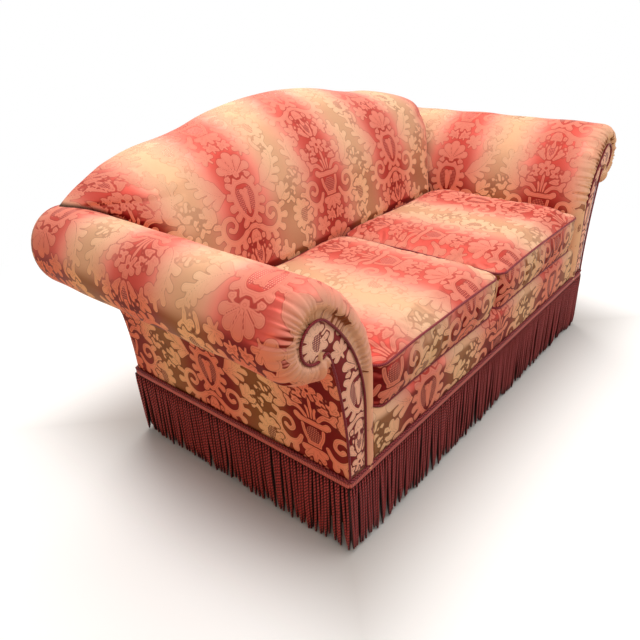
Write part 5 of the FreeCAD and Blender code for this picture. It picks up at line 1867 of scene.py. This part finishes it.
@dataclass
class SeatCushion:
    """Boxed loose cushion with welts, filled by pressure."""

    work: Upholsterer
    side: Side
    stripes: Stripes
    boxing: Stripes
    near: float = 5.0
    far: float = 608.0
    front: float = -3.0
    back: float = 581.5
    low: float = 366.5
    nosing: tuple = (34.0, 327.7)
    tuck: float = 10.0
    high: float = 481.0
    corner: float = 37.5
    welt: float = 3.1
    step: float = 6.6
    puff: float = 23.0
    swell: float = 6.0
    shoulder_width: float = 115.0
    crown: float = 35.0
    pull: float = 2.5
    pressure: float = 9.0
    ease: float = 0.03
    cap: float = 26.0
    frames: int = 20

    def plan(self, x: Array, depth: Array) -> tuple:
        """Round the corners of the plan and pull its sides in between them.

        Args:
            x, depth: places on the square plan.

        Returns:
            The places on the cushion.
        """
        middle = ((self.near + self.far) / 2, (self.front + self.back) / 2)
        half = ((self.far - self.near) / 2, (self.back - self.front) / 2)
        a, b = x - middle[0], depth - middle[1]
        p = np.maximum(0.0, np.abs(a) - half[0] + self.corner)
        q = np.maximum(0.0, np.abs(b) - half[1] + self.corner)
        a = np.sign(a) * (np.abs(a) - p + p * np.sqrt(1 - q**2 / (2 * self.corner**2)))
        b = np.sign(b) * (np.abs(b) - q + q * np.sqrt(1 - p**2 / (2 * self.corner**2)))
        s, t = a / half[0], b / half[1]
        a = a - self.pull * s * np.abs(s) * np.cos(t * math.pi / 2)
        b = b - self.pull * t * np.abs(t) * np.cos(s * math.pi / 2) * (t < 0)
        return middle[0] + a, middle[1] + b

    def shoulder(self, inward: Array) -> Array:
        """Share of the full height that the top has at a distance from its welt."""
        return np.sqrt(1 - (1 - np.clip(inward / self.shoulder_width, 0.0, 1.0)) ** 2)

    def rim_height(self, x: Array, depth: Array) -> Array:
        """Unevenness of the upper welt: corners sit a little lower.

        Args:
            x, depth: places.

        Returns:
            Heights over the plain edge.
        """
        s = (x - (self.near + self.far) / 2) / ((self.far - self.near) / 2)
        t = (depth - (self.front + self.back) / 2) / ((self.back - self.front) / 2)
        return -5.0 * np.abs(s * t) ** 3 + ripple(61 + self.side.value, x, depth, 210.0, 0.8)

    def edge_roll(self, depth: Array) -> Array:
        """Height of the border's rolled edge, which the cushion's front hangs over."""
        radius, middle = self.nosing
        return middle + np.sqrt(radius**2 - (radius - np.clip(depth + 4.0, 0.0, radius)) ** 2)

    def build(self) -> None:
        """Sew, fill and dress the cushion."""
        columns = int((self.far - self.near) / self.step)
        rows = int((self.back - self.front) / self.step)
        x, depth = np.meshgrid(np.linspace(self.near, self.far, columns + 1),
                               np.linspace(self.front, self.back, rows + 1))
        s = (x - self.near) / (self.far - self.near) * 2 - 1
        t = (depth - self.front) / (self.back - self.front) * 2 - 1
        px, pd = self.plan(x, depth)
        dome = self.shoulder((1 - np.abs(s)) * (self.far - self.near) / 2)
        dome = dome * self.shoulder((1 - np.abs(t)) * (self.back - self.front) / 2)
        rise = self.puff * dome + self.swell * (1 - s**2) * (1 - t**2)
        upper = self.high + self.rim_height(px, pd) + rise
        under = pd + self.tuck * (1 - smooth_step(depth - self.front, 0.0, 60.0))
        lower = np.minimum(self.low - 2.0 * np.minimum(1.0, dome * 6), self.edge_roll(under) + 2.0)
        top = np.stack([px * self.side.value, pd, upper], -1)
        base = np.stack([px * self.side.value, under, lower], -1)
        cloth = np.stack([self.stripes.across(px * self.side.value), pd], -1)
        ring = [(0, c) for c in range(columns)] + [(r, columns) for r in range(rows)]
        ring += [(rows, c) for c in range(columns, 0, -1)] + [(r, 0) for r in range(rows, 0, -1)]
        ring.append(ring[0])
        levels = np.linspace(0.0, 1.0, int((self.high - self.low) / self.step) + 1)
        edge_top = np.array([top[i] for i in ring])
        edge_low = np.array([base[i] for i in ring])
        band = edge_top[None] + levels[:, None, None] * (edge_low - edge_top)[None]
        around = run_length(edge_top)
        start = edge_top[0, 0]
        u = self.boxing.across(start + self.side.value * around)
        drop = self.front - (self.high - band[..., 2])
        side_cloth = np.stack([np.broadcast_to(u, drop.shape), drop], -1)
        name = f"{self.side.word}_cushion_piece"
        mesher = self.work.mesher
        parts = [mesher.panel(name + "_top", top, cloth), mesher.panel(name + "_base", base, cloth),
                 mesher.panel(name + "_band", band, side_cloth)]
        obj = mesher.close(mesher.join(name, *parts), fill=False)
        edges = np.vstack([edge_top, edge_low])
        self.fill(obj, edges)
        self.settle(obj)
        smooth = obj.modifiers.new("smooth", "SUBSURF")
        smooth.levels = smooth.render_levels = 1
        smooth.uv_smooth = "NONE"
        mesher.apply(obj, smooth)
        bpy.ops.object.shade_smooth()
        self.pucker(obj)
        word = self.side.word
        self.work.finish(obj, self.work.palette.damask, "damask",
                         (f"{word}_cushion_cover", f"{word}_cushion_filling"), f"{word}_cushion")
        self.build_welts(edge_top[:-1], edge_low[:-1])

    def fill(self, obj: Piece, edges: Array) -> None:
        """Blow the cushion up with its welted edges held, and cap how far it moves.

        Args:
            obj: the sewn cushion.
            edges: places that are held.
        """
        before = coordinates(obj)
        held = {tuple(np.round(p, 5)) for p in self.work.mesher.metres(edges)}
        pins = [i for i, p in enumerate(before) if tuple(np.round(p.astype(np.float64), 5)) in held]
        group = obj.vertex_groups.new(name="held")
        group.add(pins, 1.0, "REPLACE")
        cloth = obj.modifiers.new("filling", "CLOTH")
        cloth.settings.quality = 4
        cloth.settings.use_pressure = True
        cloth.settings.uniform_pressure_force = self.pressure
        cloth.settings.shrink_min = -self.ease
        cloth.settings.vertex_group_mass = group.name
        cloth.settings.effector_weights.gravity = 0.0
        cloth.collision_settings.use_collision = False
        scene = bpy.context.scene
        for frame in range(1, self.frames + 1):
            scene.frame_set(frame)
        self.work.mesher.apply(obj, cloth)
        scene.frame_set(1)
        obj.vertex_groups.clear()
        after = coordinates(obj)
        move = after - before
        far = np.linalg.norm(move, axis=1)
        LOG.info("%s: %d held, filled by up to %.1f mm", obj.name, len(pins), far.max() / MM)
        move *= (np.minimum(far, self.cap * MM) / np.maximum(far, 1e-9))[:, None]
        place(obj, before + move)

    def settle(self, obj: Piece) -> None:
        """Keep the filled cushion off its neighbours and under its crown.

        Args:
            obj: the cushion.
        """
        spots = self.work.mesher.measure(obj)
        across = spots[:, 0] * self.side.value
        spots[:, 0] = np.clip(across, self.near - 2.5, self.far + 2.5) * self.side.value
        spots[:, 1] = np.minimum(spots[:, 1], self.back)
        floor = np.minimum(self.low - 4.0, self.edge_roll(spots[:, 1]) + 0.8)
        spots[:, 2] = np.clip(spots[:, 2], floor, self.high + self.crown)
        place(obj, self.work.mesher.metres(spots))

    def pucker(self, obj: Piece) -> None:
        """Small gathers that run out of the welts, on the boxing.

        Args:
            obj: the cushion.
        """
        spots = self.work.mesher.measure(obj)
        random = np.random.default_rng(71 + self.side.value)
        normals = fetch(obj.data.vertices, "normal", 3)
        run = spots[:, 0] + spots[:, 1]
        gather = sum(np.sin(run / random.uniform(3.4, 7.5) + random.uniform(0, 6.3)) for _ in range(4)) / 2
        drop = np.minimum(np.abs(spots[:, 2] - self.high), np.abs(spots[:, 2] - self.low))
        boxed = np.abs(normals[:, 2]) < 0.6
        fade = np.where(boxed, np.exp(-drop / 14.0), 0.0)
        place(obj, self.work.mesher.metres(spots + normals * (0.7 * gather * fade)[:, None]))

    def build_welts(self, upper: Array, lower: Array) -> None:
        """Round cords along the top and bottom edges, one piece.

        Args:
            upper, lower: closed lines.
        """
        mesher = self.work.mesher
        word = self.side.word
        cords = [mesher.tube(f"{word}_welt_{k}", line, self.welt, 10, (0, 0, 1), True)
                 for k, line in enumerate((upper, lower))]
        obj = mesher.join(f"{word}_cushion_cords", *cords)
        self.work.finish(obj, self.work.palette.welt, "welt", (f"{word}_cushion_welts",), f"{word}_cushion")


def fetch(items: bpy.types.bpy_prop_collection, key: str, width: int = 1, kind: type = np.float32) -> Array:
    """One value of every item of a mesh.

    Args:
        items: vertices, corners or attribute values.
        key: the value's name.
        width: numbers in a value.
        kind: number type.

    Returns:
        A row per item, or a flat array where a value is one number.
    """
    flat = np.empty(len(items) * width, kind)
    items.foreach_get(key, flat)
    return flat.reshape(-1, width) if width > 1 else flat


def coordinates(obj: Piece) -> Array:
    """A mesh's vertices, in metres."""
    return fetch(obj.data.vertices, "co", 3).astype(float)


def place(obj: Piece, spots: Array) -> None:
    """Move a mesh's vertices."""
    obj.data.vertices.foreach_set("co", spots.astype(np.float32).ravel())
    obj.data.update()


@dataclass
class BullionFringe:
    """Twisted ropes all round, under a ribbed gimp and a twisted cord."""

    work: Upholsterer
    half: float = 728.0
    front: float = -6.0
    rear: float = 822.0
    top: float = 212.0
    low: float = 5.0
    pitch: float = 10.8
    rope: float = 5.5
    taper: tuple = (0.75, 1.0, 1.0, 1.0, 1.0, 1.0, 0.5)
    sides: int = 7
    yarn_radius: float = 6.0
    shift: float = 0.9
    lean: float = 4.0
    bow: float = 1.6
    forth: float = 2.6
    short: float = 5.0
    longest_short: float = 26.0
    turn_shift: float = 16.0
    gimp_half: tuple = (3.8, 7.0)
    gimp_height: float = 217.5
    cord_height: float = 230.5
    cord_out: float = 727.5
    strand: float = 2.9
    twist: float = 15.0

    def build(self) -> None:
        """Make the four runs of rope, the gimp and the cord."""
        corners = {
            "front": ((-self.half, self.front), (self.half, self.front)),
            "right": ((self.half, self.front), (self.half, self.rear)),
            "rear": ((self.half, self.rear), (-self.half, self.rear)),
            "left": ((-self.half, self.rear), (-self.half, self.front)),
        }
        for seed, (name, (start, end)) in enumerate(corners.items()):
            self.build_run(f"{name}_bullion", np.array(start), np.array(end), seed, (f"{name}_fringe",))
        self.build_gimp()
        self.build_cord()

    def build_run(self, name: str, start: Array, end: Array, seed: int, nodes: tuple) -> None:
        """One side's ropes: one rope repeated, then each hung a little differently.

        Args:
            name: the piece's name.
            start, end: corners of the side.
            seed: choice of unevenness.
            nodes: frame nodes that it replaces.
        """
        span = float(np.linalg.norm(end - start))
        count = int(round(span / self.pitch))
        ahead = (end - start) / span
        fall = np.linspace(0.0, 1.0, len(self.taper))
        turn = np.linspace(0.0, 2 * math.pi, self.sides + 1)
        outward = turn + math.atan2(-ahead[0], ahead[1])
        taper = self.rope * np.array(self.taper)
        ring = np.stack([taper[:, None] * np.cos(outward), taper[:, None] * np.sin(outward)], -1)
        drop = self.top - (self.top - self.low) * fall
        level = np.broadcast_to(drop[:, None], ring.shape[:2])
        rope = np.stack([start[0] + ring[..., 0], start[1] + ring[..., 1], level], -1)
        fabric = np.stack(np.broadcast_arrays(turn[None, :] * self.yarn_radius, (self.top - drop)[:, None]), -1)
        obj = self.work.mesher.shell(name, rope, fabric)
        each = len(obj.data.vertices)
        row = obj.modifiers.new("row", "ARRAY")
        row.count = count
        row.use_relative_offset = False
        row.use_constant_offset = True
        row.constant_offset_displace = (*(ahead * (span / count) * MM), 0.0)
        self.work.mesher.apply(obj, row)
        self.hang(obj, each, count, ahead, seed)
        self.work.finish(obj, self.work.palette.fringe, "fringe", nodes)

    def hang(self, obj: Piece, each: int, count: int, ahead: Array, seed: int) -> None:
        """Give every rope its own length, lean, bow and twist.

        Args:
            obj: the run.
            each: vertices of a rope.
            count: ropes.
            ahead: direction of the run.
            seed: choice of unevenness.
        """
        random = np.random.default_rng(seed + 5)
        spots = coordinates(obj).reshape(count, each, 3) / MM
        low = (self.top - spots[..., 2]) / (self.top - self.low)
        out = np.array([-ahead[1], ahead[0]]) * -1.0
        shift = random.normal(0.0, self.shift, count)
        lean = random.normal(0.0, self.lean, count) + 3.0 * np.sin(np.arange(count) * 0.21 + seed)
        bow = random.normal(0.0, self.bow, count)
        forth = random.normal(0.0, self.forth, count)
        short = np.abs(random.normal(0.0, self.short, count)) + 3.0 * np.sin(np.arange(count) * 0.37)
        sway = shift[:, None] + lean[:, None] * low**1.6 + bow[:, None] * np.sin(low * math.pi)
        for axis in range(2):
            spots[..., axis] += sway * ahead[axis] + (forth[:, None] * low) * out[axis]
        spots[..., 2] += np.clip(short, -2.0, self.longest_short)[:, None] * low
        place(obj, spots.reshape(-1, 3) * MM)
        layer = obj.data.uv_layers[FABRIC]
        flat = fetch(layer.data, "uv", 2).reshape(count, -1, 2)
        flat[..., 1] += (random.uniform(0.0, self.turn_shift, count) * MM)[:, None]
        layer.data.foreach_set("uv", flat.ravel())

    def loop(self, half: float, front: float, rear: float, radius: float, height: float, step: float) -> Array:
        """Even points round the sofa's base with round corners.

        Args:
            half, front, rear: the sides.
            radius: of the corners.
            height: of the path.
            step: about how far apart the points lie.

        Returns:
            The points.
        """
        corners = [((-half + radius, front + radius), 180, 270), ((half - radius, front + radius), 270, 360),
                   ((half - radius, rear - radius), 0, 90), ((-half + radius, rear - radius), 90, 180)]
        line = np.vstack([arc(centre, radius, a, b, 0.8) for centre, a, b in corners])
        line = np.vstack([line, line[:1]])
        run = run_length(line)
        at = np.linspace(0.0, run[-1], int(run[-1] / step) + 1)[:-1]
        return np.column_stack([np.interp(at, run, line[:, 0]), np.interp(at, run, line[:, 1]),
                                np.full(len(at), height)])

    @staticmethod
    def outward(path: Array) -> Array:
        """Level directions out of a closed path."""
        ahead = np.roll(path, -1, 0) - np.roll(path, 1, 0)
        return np.cross(ahead / np.linalg.norm(ahead, axis=1)[:, None], UP)

    def build_gimp(self) -> None:
        """Ribbed band over the heads of the ropes."""
        path = self.loop(self.half - 0.6, self.front + 0.6, self.rear - 0.6, 6.0, 0.0, 9.0)
        out = self.outward(path)
        turn = np.linspace(0.0, 2 * math.pi, 13)
        wide = self.gimp_half[0] * np.cos(turn)
        tall = self.gimp_height + self.gimp_half[1] * np.sin(turn)
        points = path[:, None] + out[:, None] * wide[None, :, None] + UP * tall[None, :, None]
        points = np.concatenate([points, points[:1]])
        run = run_length(np.vstack([path, path[:1]]))
        fabric = np.stack(np.broadcast_arrays(turn[None, :] * self.yarn_radius, run[:, None]), -1)
        obj = self.work.mesher.shell("gimp", points, fabric, fill=False)
        self.work.finish(obj, self.work.palette.gimp, "heading", ("fringe_heading",))

    def build_cord(self) -> None:
        """Two strands laid round each other."""
        path = self.loop(self.cord_out, -5.5, 821.5, 7.0, self.cord_height, self.twist / 9.0)
        out = self.outward(path)
        rounds = round(len(path) / 9.0)
        strands = []
        for k in range(2):
            turn = np.linspace(0.0, 2 * math.pi * rounds, len(path), endpoint=False) + k * math.pi
            line = path + self.strand * 0.82 * (out * np.cos(turn)[:, None] + UP * np.sin(turn)[:, None])
            strands.append(self.work.mesher.tube(f"strand_{k}", line, self.strand, 6, (0, 0, 1), True))
        obj = self.work.mesher.join("cord", *strands)
        self.work.finish(obj, self.work.palette.cord, "cord", ("twisted_cord",))


@dataclass
class BareFrame:
    """Nodes of the frame that are seen as they are: timber, springs, webbing, feet and zips."""

    work: Upholsterer

    def dress(self) -> None:
        """Give every node that still shows the finish that its name calls for."""
        palette = self.work.palette
        endings = {
            "_glides": palette.glide, "_bolts": palette.glide, "_springs": palette.spring, "_clips": palette.spring,
            "_webbing": palette.webbing, "_foot": palette.foot, "_zip": palette.zip_tape, "_slider": palette.zip_metal,
        }
        for name, obj in sorted(bpy.data.objects.items()):
            if "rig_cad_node" not in obj or obj.hide_render:
                continue
            finish = next((found for ending, found in endings.items() if name.endswith(ending)), palette.hardwood)
            finish.dress(obj)
            LOG.info("%s: %s", name, finish.name)


@dataclass
class Studio:
    """Camera, lamps, world and floor."""

    place: tuple = (-1.56561, -1.12691, 1.23648)
    azimuth: float = -48.693
    elevation: float = 28.316
    roll: float = -2.883
    lens: float = 34.877
    ambient: float = 0.22

    def build(self) -> None:
        """Set up the view and the light."""
        self.build_camera()
        self.build_world()
        self.lamp("overhead", (-0.3, -0.6, 3.2), (-0.1, 0.0, 0.4), 3.0, 88.0)
        self.lamp("window", (1.6, 2.2, 3.0), (0.0, 0.0, 0.5), 3.0, 104.0)
        self.lamp("fill", (1.6, -3.6, 1.7), (0.0, 0.0, 0.4), 2.6, 24.0)
        self.lamp("lamplight", (-3.2, -0.2, 0.5), (-0.8, 0.0, 0.4), 1.0, 14.0, (1.0, 0.5, 0.14))
        bpy.ops.mesh.primitive_plane_add(size=40.0)
        floor = bpy.context.object
        floor.name = "floor"
        Floor().dress(floor)
        bpy.context.scene.view_settings.view_transform = "Standard"

    def build_camera(self) -> None:
        """Camera where the photograph was taken from."""
        turn, tilt, roll = (math.radians(a) for a in (self.azimuth, self.elevation, self.roll))
        back = Vector((math.sin(turn) * math.cos(tilt), -math.cos(turn) * math.cos(tilt), math.sin(tilt)))
        right = Vector((math.cos(turn), math.sin(turn), 0.0))
        up = back.cross(right)
        across = math.cos(roll) * right + math.sin(roll) * up
        upright = -math.sin(roll) * right + math.cos(roll) * up
        data = bpy.data.cameras.new("camera")
        data.lens = self.lens
        data.sensor_width = 36.0
        data.clip_start = 0.05
        camera = bpy.data.objects.new("camera", data)
        bpy.context.scene.collection.objects.link(camera)
        camera.matrix_world = Matrix.Translation(self.place) @ Matrix((across, upright, back)).transposed().to_4x4()
        bpy.context.scene.camera = camera

    def build_world(self) -> None:
        """White to the eye and in reflections, plain grey as light."""
        world = bpy.data.worlds.new("studio")
        bpy.context.scene.world = world
        world.use_nodes = True
        nodes = Nodes(world.node_tree)
        sky = world.node_tree.nodes["Background"]
        _, seen = nodes.sight()
        strength = nodes.math("MULTIPLY_ADD", seen, 1.0 - self.ambient, self.ambient)
        nodes.feed(sky, {"Strength": strength, "Color": (1.0, 1.0, 1.0, 1.0)})

    @staticmethod
    def lamp(name: str, place: tuple, aim: tuple, size: float, power: float, tint: tuple = (1.0, 1.0, 1.0)) -> None:
        """A square soft light.

        Args:
            name: the lamp's name.
            place, aim: where it is and looks.
            size: of a side.
            power: in watts.
            tint: its colour.
        """
        data = bpy.data.lights.new(name, "AREA")
        data.color = tint
        data.size = size
        data.energy = power
        lamp = bpy.data.objects.new(name, data)
        bpy.context.scene.collection.objects.link(lamp)
        lamp.location = place
        lamp.rotation_euler = (Vector(aim) - Vector(place)).to_track_quat("-Z", "Y").to_euler()


def main() -> None:
    """Dress the sofa."""
    logging.basicConfig(level=logging.INFO, format="%(name)s %(message)s")
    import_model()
    work = Upholsterer(Mesher(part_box("front_border_cover")[0].y), Damask(), Palette())
    arm, rear = ArmShape(), RearPlane()
    for side, stripes, seed in ((Side.LEFT, Stripes(100.0, 360.0), 3), (Side.RIGHT, Stripes(150.0, 380.0), 4)):
        RolledArm(work, arm, rear, side, stripes, seed).build()
        ArmFacing(work, arm, side).build()
    back = CamelBack(work, arm, rear)
    back.build()
    back.build_outside()
    SeatDeck(work).build()
    SeatCushion(work, Side.LEFT, Stripes(-165.0, 390.0), Stripes(-185.0, 370.0)).build()
    SeatCushion(work, Side.RIGHT, Stripes(95.0, 390.0), Stripes(60.0, 360.0)).build()
    BullionFringe(work).build()
    BareFrame(work).dress()
    Studio().build()


if __name__ == "__main__":
    main()
